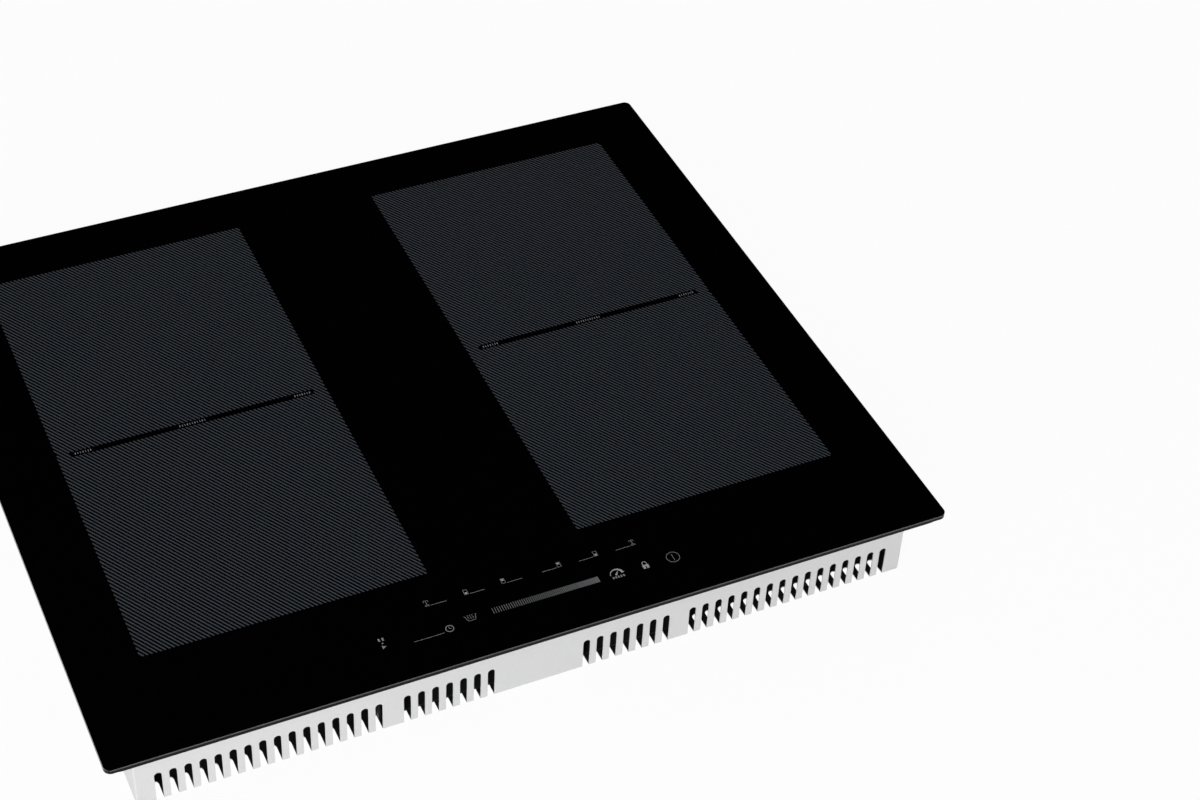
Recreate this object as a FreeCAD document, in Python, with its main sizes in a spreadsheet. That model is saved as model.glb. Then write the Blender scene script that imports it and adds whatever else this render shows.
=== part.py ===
import FreeCAD, Part
import math
import os
import re

import Sketcher
from FreeCAD import Placement, Rotation, Vector

# Built-in induction cooktop for a 560 x 490 mm cut-out, in millimetres.
# The origin is the middle of the underside of the casing: +X to the user's right, +Y to the back, +Z up.
# The user stands at -Y. Two bridging zones, left and right, hold two coils each.

SIZES = (
    # the glass and what seals it to the worktop
    ("glass_width", 590.0),
    ("glass_depth", 520.0),
    ("glass_thickness", 4.0),
    ("glass_corner", 5.0),
    ("bevel_run", 2.0),
    ("bevel_drop", 1.5),
    ("gasket_inset", 2.0),
    ("gasket_width", 10.0),
    ("gasket_thickness", 3.0),
    # the folded sheet casing
    ("rim_side", 20.0),
    ("rim_front", 18.0),
    ("casing_height", 59.0),
    ("casing_sheet", 0.8),
    ("casing_fold", 1.0),
    ("glass_lift", 0.5),
    # how many sides stand for a circle where it repeats or lies hidden
    ("round_sides", 16),
    ("fan_sides", 28),
    # the comb of vent slots that wraps the front fold
    ("slot_width", 5.0),
    ("slot_pitch", 9.8),
    ("slot_top", 26.0),
    ("slot_reach", 14.7),
    ("slot_top_chords", 6),
    ("slot_end_chords", 4),
    ("inner_slots", 7),
    ("inner_start", 3.5),
    ("outer_slots", 16),
    ("outer_start", 11.5),
    # the plain vent slots of the back wall and of the base below the blowers
    ("rear_slots", 10),
    ("rear_slot_width", 5.0),
    ("rear_slot_height", 20.0),
    ("rear_slot_middle", 22.0),
    ("rear_slot_pitch", 12.0),
    ("rear_slot_start", 100.0),
    ("intake_slots", 7),
    ("intake_slot_width", 5.0),
    ("intake_slot_length", 56.0),
    ("intake_slot_pitch", 8.5),
    # the angle ring under the glass
    ("frame_sheet", 1.0),
    ("frame_gap", 0.2),
    ("frame_leg", 14.7),
    ("frame_flange", 22.0),
    ("frame_flange_front", 5.0),
    ("bond_thickness", 0.8),
    ("bond_width", 4.0),
    ("bond_inset", 0.5),
    # the zones and their coils
    ("zone_inner", 54.0),
    ("zone_width", 195.0),
    ("zone_depth", 394.5),
    ("zone_back", 44.0),
    ("mica_thickness", 0.6),
    ("mica_inset", 1.0),
    ("coil_margin", 5.0),
    ("coil_cut", 45.0),
    ("carrier_thickness", 2.0),
    ("carrier_eye", 9.0),
    ("winding_rim", 2.5),
    ("winding_height", 4.0),
    ("winding_turns", 9),
    ("winding_pitch", 6.6),
    ("winding_strand", 5.6),
    ("ferrite_bars", 8),
    ("ferrite_start", 28.0),
    ("ferrite_margin", 8.5),
    ("ferrite_width", 12.0),
    ("ferrite_height", 5.0),
    ("sensor_foot_radius", 8.0),
    ("sensor_foot_height", 3.0),
    ("sensor_radius", 5.0),
    ("sensor_clearance", 1.5),
    ("plate_thickness", 1.5),
    ("plate_flange", 6.0),
    ("plate_window_width", 60.0),
    ("plate_window_depth", 14.0),
    ("post_side", 8.0),
    ("post_foot", 14.0),
    ("post_foot_height", 2.0),
    ("post_inset", 12.0),
    # the boards and what stands on them
    ("deck_width", 464.0),
    ("deck_front_in", 371.2),
    ("deck_back_in", 151.2),
    ("deck_thickness", 1.5),
    ("peg_side", 6.0),
    ("board_level", 8.0),
    ("board_thickness", 1.6),
    ("power_board_inner", 78.0),
    ("power_board_width", 150.0),
    ("power_board_in", 361.2),
    ("power_board_depth", 210.0),
    ("sink_inner", 86.0),
    ("sink_width", 56.0),
    ("sink_height", 30.0),
    ("sink_base", 5.0),
    ("sink_in", 341.2),
    ("sink_length", 180.0),
    ("sink_channels", 10),
    ("sink_fin", 1.6),
    ("transistor_count", 4),
    ("transistor_width", 16.0),
    ("transistor_depth", 5.0),
    ("transistor_height", 21.0),
    ("transistor_pitch", 36.0),
    ("capacitor_count", 3),
    ("capacitor_width", 18.0),
    ("capacitor_length", 32.0),
    ("capacitor_height", 26.0),
    ("capacitor_pitch", 44.0),
    ("capacitor_inset", 12.0),
    ("lead_radius", 1.5),
    ("lead_play", 0.3),
    ("lead_bend", 3.0),
    ("lead_bend_chords", 3),
    ("lead_offset", 12.0),
    ("lead_spacing", 10.0),
    # the blowers
    ("fan_across", 120.0),
    ("fan_in", 91.2),
    ("fan_radius", 47.0),
    ("fan_height", 32.0),
    ("fan_wall", 2.0),
    ("fan_mouth_width", 56.0),
    ("fan_mouth_reach", 58.0),
    ("fan_inlet", 32.0),
    ("rotor_radius", 38.0),
    ("rotor_blades", 15),
    ("blade_chord", 10.0),
    ("blade_thickness", 1.4),
    ("blade_inset", 1.0),
    ("tip_lean", 3.5),
    ("knee_in", 4.5),
    ("knee_lean", 2.8),
    ("blade_height", 19.5),
    ("rotor_lift", 4.0),
    ("rotor_disc", 1.5),
    ("magnet_radius", 15.5),
    ("magnet_wall", 1.5),
    ("shaft_radius", 1.5),
    ("shaft_clearance", 0.05),
    ("shaft_length", 7.5),
    ("boss_radius", 5.0),
    ("boss_length", 5.0),
    ("bearing_depth", 6.4),
    # the mains filter
    ("filter_width", 90.0),
    ("filter_depth", 100.0),
    ("filter_in", 251.2),
    ("choke_across", -19.0),
    ("choke_back", 17.0),
    ("core_width", 36.0),
    ("core_depth", 34.0),
    ("core_height", 30.0),
    ("bobbin_width", 44.0),
    ("bobbin_depth", 18.0),
    ("bobbin_height", 24.0),
    ("suppressor_count", 2),
    ("suppressor_width", 30.0),
    ("suppressor_depth", 15.0),
    ("suppressor_height", 24.0),
    ("suppressor_pitch", 22.0),
    ("suppressor_across", 24.0),
    ("suppressor_start", 47.5),
    # the touch control
    ("control_in", 9.0),
    ("control_width", 220.0),
    ("control_depth", 41.5),
    ("control_wall", 1.5),
    ("touch_board_inset", 4.0),
    ("touch_board_depth", 37.5),
    ("touch_board_level", 52.0),
    ("key_pitch", 26.7),
    ("left_key", -11.2),
    ("right_key", 28.8),
    ("key_row_in", 56.5),
    ("slider_row_in", 34.0),
    ("slider_start", -24.0),
    ("slider_pitch", 9.6),
    ("slider_pads", 8),
    ("go_key", -101.0),
    ("timer_key", -75.3),
    ("warm_key", -43.2),
    ("power_up_key", 60.8),
    ("lock_key", 82.2),
    ("power_key", 101.0),
    ("pad_side", 6.0),
    ("display_width", 9.0),
    ("display_depth", 11.0),
    ("display_gap", 1.0),
    ("ribbon_width", 20.0),
    ("ribbon_thickness", 0.8),
    ("ribbon_play", 1.0),
    ("ribbon_overlap", 7.0),
    ("ribbon_rise", 3.0),
    ("ribbon_landing", 10.0),
    # the mains terminal in the back wall
    ("terminal_width", 92.0),
    ("terminal_depth", 50.0),
    ("terminal_height", 44.0),
    ("terminal_wall", 2.0),
    ("window_width", 88.0),
    ("window_lip", 1.6),
    ("cover_thickness", 2.0),
    ("cover_gap", 0.6),
    ("cover_headroom", 1.9),
    ("hinge_in", 3.5),
    ("hinge_drop", 2.0),
    ("hinge_pin", 1.2),
    ("hinge_clearance", 0.05),
    ("hinge_lug", 4.0),
    ("notch_radius", 6.0),
    ("entry_across", -30.0),
    ("entry_in", 18.0),
    ("entry_bore", 7.0),
    ("entry_collar", 9.5),
    ("entry_length", 5.0),
    ("entry_clearance", 0.5),
    ("strip_width", 50.0),
    ("strip_depth", 22.0),
    ("strip_height", 22.0),
    ("strip_across", 17.0),
    ("strip_in", 34.0),
    ("port_count", 5),
    ("port_pitch", 9.6),
    ("port_width", 6.0),
    ("port_height", 8.0),
    ("port_level", 9.0),
    ("port_depth", 8.0),
    ("well_radius", 2.8),
    ("well_depth", 6.0),
    ("clamp_beside", 16.0),
    ("clamp_bite", 1.0),
    ("clamp_wall", 3.0),
    ("clamp_length", 8.0),
    # the side clips and the screws
    ("clip_along", 140.0),
    ("clip_width", 20.0),
    ("clip_sheet", 0.8),
    ("clip_top", 57.0),
    ("clip_fold", 43.0),
    ("clip_fold_gap", 0.2),
    ("leaf_width", 16.0),
    ("leaf_belly", 5.5),
    ("leaf_belly_drop", 15.0),
    ("leaf_tip", 3.2),
    ("leaf_length", 30.0),
    ("screw_level", 51.0),
    ("screw_across", 200.0),
    ("screw_radius", 1.6),
    ("screw_length", 6.0),
    ("screw_head_radius", 3.4),
    ("screw_head_height", 2.0),
    ("screw_thread_play", 0.05),
    ("screw_play", 0.4),
)

NEAR = 1e-3  # two places closer than this are the same place
HEX_SIDES = 6
SIZE_NAME = re.compile(r"[a-z]+(?:_[a-z]+)+")
SIDES = (("left", -1), ("right", 1))
ROWS = (("rear", 1), ("front", -1))

# Levels and places that several pieces share, worked out from the sizes.
CASING_WIDTH = "(glass_width - 2 * rim_side)"
CASING_DEPTH = "(glass_depth - 2 * rim_front)"
GLASS_UNDER = "(casing_height + glass_lift)"
FRAME_TOP = "(casing_height + glass_lift - bond_thickness)"
FRAME_WIDTH = f"({CASING_WIDTH} - 2 * casing_sheet - 2 * frame_gap)"
FRAME_DEPTH = f"({CASING_DEPTH} - 2 * casing_sheet - 2 * frame_gap)"
ZONE_X = "(zone_inner + zone_width / 2)"
ZONE_Y = "(glass_depth / 2 - zone_back - zone_depth / 2)"
MICA_UNDER = f"({GLASS_UNDER} - mica_thickness)"
WINDING_UNDER = f"({MICA_UNDER} - winding_height)"
CARRIER_UNDER = f"({WINDING_UNDER} - carrier_thickness)"
PLATE_TOP = f"({CARRIER_UNDER} - ferrite_height)"
PLATE_UNDER = f"({PLATE_TOP} - plate_thickness)"
COIL_WIDTH = "(zone_width - 2 * coil_margin)"
COIL_DEPTH = "(zone_depth / 2 - 2 * coil_margin)"
FERRITE_LENGTH = f"(min({COIL_WIDTH}; {COIL_DEPTH}) / 2 - ferrite_start - ferrite_margin)"
BOARD_TOP = "(board_level + board_thickness)"
DECK_TOP = "(casing_sheet + deck_thickness)"
BACK_WALL = f"({CASING_DEPTH} / 2 - casing_sheet)"
TOUCH_TOP = "(touch_board_level + board_thickness)"
CONTROL_FRONT = f"(control_in - {CASING_DEPTH} / 2)"
HINGE_Y = f"({BACK_WALL} - hinge_in + casing_sheet)"
FAN_Y = f"({BACK_WALL} - fan_in)"
DECK_FRONT = f"({BACK_WALL} - deck_front_in)"
DECK_BACK = f"({BACK_WALL} - deck_back_in)"
POWER_FRONT = f"({BACK_WALL} - power_board_in)"
SINK_FRONT = f"({BACK_WALL} - sink_in)"
FILTER_FRONT = f"({BACK_WALL} - filter_in)"
KEY_ROW = "(key_row_in - glass_depth / 2)"
SLIDER_ROW = "(slider_row_in - glass_depth / 2)"
WINDOW_LOW = "(casing_sheet + terminal_wall + window_lip)"
WINDOW_HIGH = "(terminal_height - terminal_wall - window_lip)"
COVER_LOW = f"({WINDOW_LOW} + cover_gap)"
COVER_HIGH = f"({WINDOW_HIGH} - cover_headroom)"
HINGE_LEVEL = f"({COVER_HIGH} - hinge_drop)"

doc = FreeCAD.newDocument("cooktop")
nodes = []


def tie(text):
    """An expression in which every size is read from the sheet."""
    return SIZE_NAME.sub(lambda word: "Sizes." + word.group(0), text)


def make_sheet():
    """The spreadsheet of driving sizes: a name in column A, its value in column B."""
    sheet = doc.addObject("Spreadsheet::Sheet", "Sizes")
    for row, (name, value) in enumerate(SIZES, start=1):
        sheet.set(f"A{row}", name)
        sheet.set(f"B{row}", str(value))
        sheet.setAlias(f"B{row}", name)
    doc.recompute()
    return sheet


sheet = make_sheet()


def size(name):
    """The plain number that the sheet holds under a name."""
    return float(getattr(sheet, name))


def keep(piece, name):
    """Name a finished sub-part and list it for export."""
    piece.Label = name
    nodes.append(piece)
    return piece


def place(piece, x="0", y="0", z="0", turn=None):
    """Tie a piece's position to the sheet, with an optional fixed turn."""
    if turn is not None:
        piece.Placement = Placement(Vector(), turn)
    piece.setExpression("Placement.Base.x", tie(x))
    piece.setExpression("Placement.Base.y", tie(y))
    piece.setExpression("Placement.Base.z", tie(z))


# ---- sketches -------------------------------------------------------------------------------------------


def new_body(name):
    return doc.addObject("PartDesign::Body", "Body_" + name)


def origin_item(body, role):
    return next(item for item in body.Origin.OriginFeatures if item.Role == role)


def new_sketch(body, role, x="0", y="0", z="0"):
    """A sketch on an origin plane, shifted along the plane's own axes by tied distances."""
    drawing = body.newObject("Sketcher::SketchObject", "Sketch")
    drawing.AttachmentSupport = (origin_item(body, role), [""])
    drawing.MapMode = "FlatFace"
    for axis, text in (("x", x), ("y", y), ("z", z)):
        drawing.setExpression(f".AttachmentOffset.Base.{axis}", tie(text))
    return drawing


def constrain(drawing, kind, references, text):
    """Add one dimension and tie it to the sheet."""
    number = drawing.addConstraint(Sketcher.Constraint(kind, *references, 1.0))
    drawing.setExpression(f"Constraints[{number}]", tie(text))


def polygon(drawing, points):
    """A closed outline of straight sides whose corners are tied distances from the sketch's origin."""
    count = len(points)
    first = drawing.GeometryCount
    angles = [2 * math.pi * i / count for i in range(count)]
    start = [Vector(math.cos(a), math.sin(a), 0) for a in angles]
    sides = [Part.LineSegment(start[i], start[(i + 1) % count]) for i in range(count)]
    drawing.addGeometry(sides, False)
    for i in range(count):
        drawing.addConstraint(Sketcher.Constraint("Coincident", first + i, 2, first + (i + 1) % count, 1))
    for i, (x, y) in enumerate(points):
        constrain(drawing, "DistanceX", (-1, 1, first + i, 1), x)
        constrain(drawing, "DistanceY", (-1, 1, first + i, 1), y)


def rectangle(drawing, width, depth, x="0", y="0"):
    """A rectangle given by its sides and its middle."""
    west = f"{x} - ({width}) / 2"
    east = f"{x} + ({width}) / 2"
    south = f"{y} - ({depth}) / 2"
    north = f"{y} + ({depth}) / 2"
    polygon(drawing, [(west, south), (east, south), (east, north), (west, north)])


def circle(drawing, radius, x="0", y="0"):
    number = drawing.addGeometry(Part.Circle(Vector(), Vector(0, 0, 1), 1.0), False)
    constrain(drawing, "Radius", (number,), radius)
    constrain(drawing, "DistanceX", (-1, 1, number, 3), x)
    constrain(drawing, "DistanceY", (-1, 1, number, 3), y)


def chords(radius, x, y, first, last, steps):
    """Corners of an arc drawn as equal chords, between two angles in degrees."""
    angles = [math.radians(first + (last - first) * i / steps) for i in range(steps + 1)]
    return [
        (f"{x} + ({radius}) * {math.cos(a):.6f}", f"{y} + ({radius}) * {math.sin(a):.6f}") for a in angles
    ]


def many_sided(drawing, radius, x="0", y="0", sides="round_sides"):
    """A closed round outline drawn as chords, for what repeats or lies hidden in the casing."""
    polygon(drawing, chords(radius, x, y, 0, 360, int(size(sides)))[:-1])


def round_topped_slot(drawing, width, length, steps):
    """A slot that stands on the sketch's origin, with straight sides and a half-round top of chords."""
    half = f"({width}) / 2"
    feet = [(f"-{half}", "0"), (half, "0")]
    top = chords(half, "0", f"({length}) - {half}", 0, 180, int(size(steps)))
    polygon(drawing, feet + top)


# ---- features -------------------------------------------------------------------------------------------


def pad(body, drawing, length, both_ways=False):
    feature = body.newObject("PartDesign::Pad", "Pad")
    feature.Profile = drawing
    if both_ways:
        feature.SideType = "Symmetric"
    feature.setExpression("Length", tie(length))
    return finish_feature(body, feature)


def pocket(body, drawing, depth):
    """Cut the sketch's outline to this depth on both sides of its plane."""
    before = body.Shape.Volume
    feature = body.newObject("PartDesign::Pocket", "Pocket")
    feature.Profile = drawing
    feature.SideType = "Symmetric"
    feature.setExpression("Length", tie(f"2 * ({depth})"))
    finish_feature(body, feature)
    if feature.Shape.isNull() or feature.Shape.Volume > before - NEAR:
        raise RuntimeError(f"{body.Name}: {feature.Name} cuts nothing")
    return feature


def finish_feature(body, feature):
    body.Tip = feature
    doc.recompute()
    return feature


def repeat_in_line(body, features, role, pitch, count, backwards=False):
    """Repeat features along an origin axis at a tied pitch and count."""
    pattern = body.newObject("PartDesign::LinearPattern", "Row")
    pattern.Originals = features
    pattern.Direction = (origin_item(body, role), [""])
    pattern.Reversed = backwards
    pattern.setExpression("Length", tie(f"({pitch}) * ({count} - 1)"))
    pattern.setExpression("Occurrences", tie(count))
    return finish_feature(body, pattern)


def repeat_round(body, features, count):
    """Repeat features in a full turn about the body's upright axis."""
    pattern = body.newObject("PartDesign::PolarPattern", "Ring")
    pattern.Originals = features
    pattern.Axis = (origin_item(body, "Z_Axis"), [""])
    pattern.Angle = 360
    pattern.setExpression("Occurrences", tie(count))
    return finish_feature(body, pattern)


def edges_that(body, wanted):
    """Names of the edges whose bounding box passes a test."""
    return [f"Edge{i}" for i, edge in enumerate(body.Shape.Edges, start=1) if wanted(edge.BoundBox)]


def fillet(body, radius, wanted):
    base = body.Tip
    edges = edges_that(body, wanted)
    feature = body.newObject("PartDesign::Fillet", "Fillet")
    feature.Base = (base, edges)
    feature.setExpression("Radius", tie(radius))
    return finish_feature(body, feature)


def chamfer(body, leg, wanted):
    base = body.Tip
    edges = edges_that(body, wanted)
    feature = body.newObject("PartDesign::Chamfer", "Chamfer")
    feature.Base = (base, edges)
    feature.setExpression("Size", tie(leg))
    return finish_feature(body, feature)


def is_upright(box):
    return box.XLength < NEAR and box.YLength < NEAR


# ---- primitives -----------------------------------------------------------------------------------------


def block(low, sides):
    """A box given by its lowest corner and its three sides."""
    piece = doc.addObject("Part::Box", "Block")
    for name, text in zip(("Length", "Width", "Height"), sides):
        piece.setExpression(name, tie(text))
    place(piece, *low)
    return piece


def prism(base, radius, sides, length, turn=None):
    """A straight bar with a regular outline, from its base centre, given by its corner radius."""
    piece = doc.addObject("Part::Prism", "Prism")
    piece.Polygon = sides
    piece.setExpression("Circumradius", tie(radius))
    piece.setExpression("Height", tie(length))
    place(piece, *base, turn=turn)
    return piece


def fuse(pieces):
    whole = doc.addObject("Part::MultiFuse", "Fuse")
    whole.Shapes = pieces
    return whole


def cut(base, tool):
    rest = doc.addObject("Part::Cut", "Cut")
    rest.Base = base
    rest.Tool = tool
    return rest


def group(pieces):
    whole = doc.addObject("Part::Compound", "Group")
    whole.Links = pieces
    return whole


# ---- glass, seal and frame ------------------------------------------------------------------------------


def make_glass_top():
    """A rounded plate whose front upper edge is ground to a straight bevel."""
    body = new_body("glass_top")
    outline = new_sketch(body, "XY_Plane", z=GLASS_UNDER)
    rectangle(outline, "glass_width", "glass_depth")
    pad(body, outline, "glass_thickness")
    fillet(body, "glass_corner", is_upright)
    wedge = new_sketch(body, "YZ_Plane")
    front = "-glass_depth / 2"
    top = f"{GLASS_UNDER} + glass_thickness"
    above = f"{top} + bevel_drop"
    ahead = f"{front} - bevel_run"
    polygon(
        wedge,
        [
            (ahead, f"{top} - 2 * bevel_drop"),
            (f"{front} + 2 * bevel_run", above),
            (ahead, above),
        ],
    )
    pocket(body, wedge, "glass_width")
    return keep(body, "glass_top")


def make_ring(name, z, height, outer, rim):
    """A flat closed strip of the given rim width, inside the outer rectangle."""
    body = new_body(name)
    outline = new_sketch(body, "XY_Plane", z=z)
    width, depth = outer
    rectangle(outline, width, depth)
    rectangle(outline, f"{width} - 2 * {rim}", f"{depth} - 2 * {rim}")
    pad(body, outline, height)
    return keep(body, name)


def make_mounting_frame():
    """A folded angle ring: a flange under the glass and a leg just inside the casing walls."""
    body = new_body("mounting_frame")
    foot = f"({FRAME_TOP} - frame_leg)"
    outline = new_sketch(body, "XY_Plane", z=foot)
    rectangle(outline, FRAME_WIDTH, FRAME_DEPTH)
    pad(body, outline, "frame_leg")
    hollow = new_sketch(body, "XY_Plane", z=foot)
    rectangle(hollow, f"{FRAME_WIDTH} - 2 * frame_sheet", f"{FRAME_DEPTH} - 2 * frame_sheet")
    pocket(body, hollow, "frame_leg - frame_sheet")
    opening = new_sketch(body, "XY_Plane", z=FRAME_TOP)
    rectangle(
        opening,
        f"{FRAME_WIDTH} - 2 * frame_flange",
        f"{FRAME_DEPTH} - frame_flange - frame_flange_front",
        y="(frame_flange_front - frame_flange) / 2",
    )
    pocket(body, opening, "frame_leg")
    drill_screw_holes(body, "screw_radius + screw_thread_play")
    return keep(body, "mounting_frame")


def drill_screw_holes(body, radius):
    """Holes for the side and back screws, through whatever stands in their line."""
    for sign in (-1, 1):
        side = new_sketch(body, "YZ_Plane", x=f"{sign} * clip_along")
        many_sided(side, radius, y="screw_level")
        pocket(body, side, CASING_WIDTH)
        back = new_sketch(body, "XZ_Plane", x=f"{sign} * screw_across", z=f"-{CASING_DEPTH} / 2")
        many_sided(back, radius, y="screw_level")
        pocket(body, back, "screw_length")


# ---- casing ---------------------------------------------------------------------------------------------


def comb_group(body, sign, start, count):
    """One row of the comb, as solids: round-topped in the front wall, rounded again under the base."""
    first = f"{sign} * ({start}) * slot_pitch"
    overrun = "casing_sheet"
    wall = new_sketch(
        body, "XZ_Plane", x=first, y=f"-{overrun}", z=f"{CASING_DEPTH} / 2 - casing_sheet / 2"
    )
    round_topped_slot(wall, "slot_width", f"slot_top + {overrun}", "slot_top_chords")
    in_wall = pad(body, wall, "2 * casing_sheet", both_ways=True)
    base = new_sketch(
        body, "XY_Plane", x=first, y=f"-{CASING_DEPTH} / 2 - {overrun}", z="casing_sheet / 2"
    )
    round_topped_slot(base, "slot_width", f"slot_reach + {overrun}", "slot_end_chords")
    in_base = pad(body, base, "2 * casing_sheet", both_ways=True)
    repeat_in_line(body, [in_wall, in_base], "X_Axis", "slot_pitch", count, backwards=sign < 0)


def vent_group(body, sign):
    """The straight slots of one side: a row in the back wall and a grille in the base under the blower."""
    vent = new_sketch(
        body,
        "XZ_Plane",
        x=f"{sign} * rear_slot_start",
        y="rear_slot_middle",
        z=f"casing_sheet / 2 - {CASING_DEPTH} / 2",
    )
    rectangle(vent, "rear_slot_width", "rear_slot_height")
    first = pad(body, vent, "2 * casing_sheet", both_ways=True)
    repeat_in_line(body, [first], "X_Axis", "rear_slot_pitch", "rear_slots", backwards=sign < 0)
    intake = new_sketch(
        body,
        "XY_Plane",
        x=f"{sign} * fan_across - intake_slot_pitch * (intake_slots - 1) / 2",
        y=FAN_Y,
        z="casing_sheet / 2",
    )
    rectangle(intake, "intake_slot_width", "intake_slot_length")
    first = pad(body, intake, "2 * casing_sheet", both_ways=True)
    repeat_in_line(body, [first], "X_Axis", "intake_slot_pitch", "intake_slots")


def make_vent_slots():
    """Every vent slot of the casing as a solid, so that the folded sheet is cut once."""
    body = new_body("vent_slots")
    for sign in (-1, 1):
        comb_group(body, sign, "inner_start", "inner_slots")
        comb_group(body, sign, "outer_start", "outer_slots")
        vent_group(body, sign)
    return body


def make_base_tray():
    """The casing: one sheet folded up on four sides, with its vents, window and holes."""
    body = new_body("base_tray")
    outline = new_sketch(body, "XY_Plane")
    rectangle(outline, CASING_WIDTH, CASING_DEPTH)
    pad(body, outline, "casing_height")
    hollow = new_sketch(body, "XY_Plane", z="casing_height")
    rectangle(hollow, f"{CASING_WIDTH} - 2 * casing_sheet", f"{CASING_DEPTH} - 2 * casing_sheet")
    pocket(body, hollow, "casing_height - casing_sheet")

    whole = body.Shape.BoundBox

    def on_outer_fold(box):
        outer = box.XLength > whole.XLength - NEAR or box.YLength > whole.YLength - NEAR
        corner = is_upright(box) and abs(box.XMax) > whole.XMax - NEAR
        return corner or (outer and box.ZMax < NEAR)

    chamfer(body, "casing_fold", on_outer_fold)
    cut_terminal_openings(body)
    drill_screw_holes(body, "screw_radius + screw_play")
    return keep(cut(body, make_vent_slots()), "base_tray")


def cut_terminal_openings(body):
    """The window for the terminal's cover in the back wall, and the hole for the cable entry in the base."""
    window = new_sketch(
        body,
        "XZ_Plane",
        y=f"({WINDOW_LOW} + {WINDOW_HIGH}) / 2",
        z=f"casing_sheet / 2 - {CASING_DEPTH} / 2",
    )
    rectangle(window, "window_width", f"{WINDOW_HIGH} - {WINDOW_LOW}")
    pocket(body, window, "casing_sheet")
    entry = new_sketch(body, "XY_Plane", z="casing_sheet / 2")
    many_sided(entry, "entry_collar + entry_clearance", x="entry_across", y=f"{CASING_DEPTH} / 2 - entry_in")
    pocket(body, entry, "casing_sheet")


# ---- coils ----------------------------------------------------------------------------------------------


def octagon(drawing, width, depth, corner):
    """A rectangle with its corners cut off at 45 degrees."""
    x = f"({width}) / 2"
    y = f"({depth}) / 2"
    points = []
    for sx, sy, side_first in ((1, 1, True), (-1, 1, False), (-1, -1, True), (1, -1, False)):
        on_side = (f"{sx} * {x}", f"{sy} * ({y} - {corner})")
        on_end = (f"{sx} * ({x} - {corner})", f"{sy} * {y}")
        points += [on_side, on_end] if side_first else [on_end, on_side]
    polygon(drawing, points)


def place_on_coil(piece, side, row):
    """Put a piece that is modelled about its own middle at a coil's centre."""
    place(piece, x=f"{side} * {ZONE_X}", y=f"{ZONE_Y} + {row} * zone_depth / 4")


def make_coil_carrier(name, side, row):
    """The moulded disc that the coil is wound on, with an eye for the temperature sensor."""
    body = new_body(name)
    outline = new_sketch(body, "XY_Plane", z=CARRIER_UNDER)
    octagon(outline, COIL_WIDTH, COIL_DEPTH, "coil_cut")
    many_sided(outline, "carrier_eye")
    pad(body, outline, "carrier_thickness")
    place_on_coil(body, side, row)
    return keep(body, name)


def make_ferrite_bars(name, side, row):
    """Bars of ferrite that lie like spokes under the carrier and close the field below it."""
    body = new_body(name)
    bar = new_sketch(body, "XY_Plane", z=PLATE_TOP)
    rectangle(bar, FERRITE_LENGTH, "ferrite_width", x=f"ferrite_start + {FERRITE_LENGTH} / 2")
    first = pad(body, bar, "ferrite_height")
    repeat_round(body, [first], "ferrite_bars")
    place_on_coil(body, side, row)
    return keep(body, name)


def make_temperature_sensor(name, side, row):
    """A sensor in a silicone cup that stands on the plate and touches the glass."""
    body = new_body(name)
    foot = new_sketch(body, "XY_Plane", z=PLATE_TOP)
    many_sided(foot, "sensor_foot_radius")
    pad(body, foot, "sensor_foot_height")
    stem = new_sketch(body, "XY_Plane", z=f"{PLATE_TOP} + sensor_foot_height")
    many_sided(stem, "sensor_radius")
    pad(body, stem, f"{GLASS_UNDER} - {PLATE_TOP} - sensor_foot_height")
    place_on_coil(body, side, row)
    return keep(body, name)


def winding_corner(index, inset):
    """Corner of a flat eight-sided spiral that steps in by one pitch a turn, at an inset from its outside."""
    corners = 8
    across = (size("zone_width") - 2 * size("coil_margin")) / 2 - size("winding_rim")
    along = (size("zone_depth") / 2 - 2 * size("coil_margin")) / 2 - size("winding_rim")
    depth = size("winding_pitch") * index / corners + inset
    corner = size("coil_cut") - (2 - math.sqrt(2)) * depth
    signs = ((1, 1), (1, 1), (-1, 1), (-1, 1), (-1, -1), (-1, -1), (1, -1), (1, -1))
    sx, sy = signs[index % corners]
    side_corner = index % 4 in (0, 3)
    x = across - depth - (0 if side_corner else corner)
    y = along - depth - (corner if side_corner else 0)
    return Vector(sx * x, sy * y, 0)


def make_coil_winding(name, side, row):
    """Litz wire wound flat from the outside in, as one strip with a gap between its turns."""
    turn = 8
    last = turn * int(size("winding_turns"))
    outside = [winding_corner(i, 0) for i in range(last + 1)]
    inside = [winding_corner(i, size("winding_strand")) for i in range(last + 1)]
    next_turns = Part.makePolygon(outside[turn:])
    gap = min(next_turns.distToShape(Part.Vertex(corner))[0] for corner in inside[:-turn])
    print(f"{name}: least gap between turns {gap:.2f} mm")
    outline = Part.makePolygon(outside + inside[::-1] + [outside[0]])
    piece = doc.addObject("Part::Feature", "Winding_" + name)
    piece.Shape = Part.Face(outline).extrude(Vector(0, 0, size("winding_height")))
    place(
        piece,
        x=f"{side} * {ZONE_X}",
        y=f"{ZONE_Y} + {row} * zone_depth / 4",
        z=WINDING_UNDER,
    )
    return keep(piece, name)


def make_mica_sheet(name, side):
    """A thin insulating sheet between both coils of a zone and the glass."""
    body = new_body(name)
    outline = new_sketch(body, "XY_Plane", z=MICA_UNDER)
    rectangle(outline, "zone_width - 2 * mica_inset", "zone_depth - 2 * mica_inset")
    for _, row in ROWS:
        many_sided(outline, "sensor_radius + sensor_clearance", y=f"{row} * zone_depth / 4")
    pad(body, outline, "mica_thickness")
    place(body, x=f"{side} * {ZONE_X}", y=ZONE_Y)
    return keep(body, name)


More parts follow.
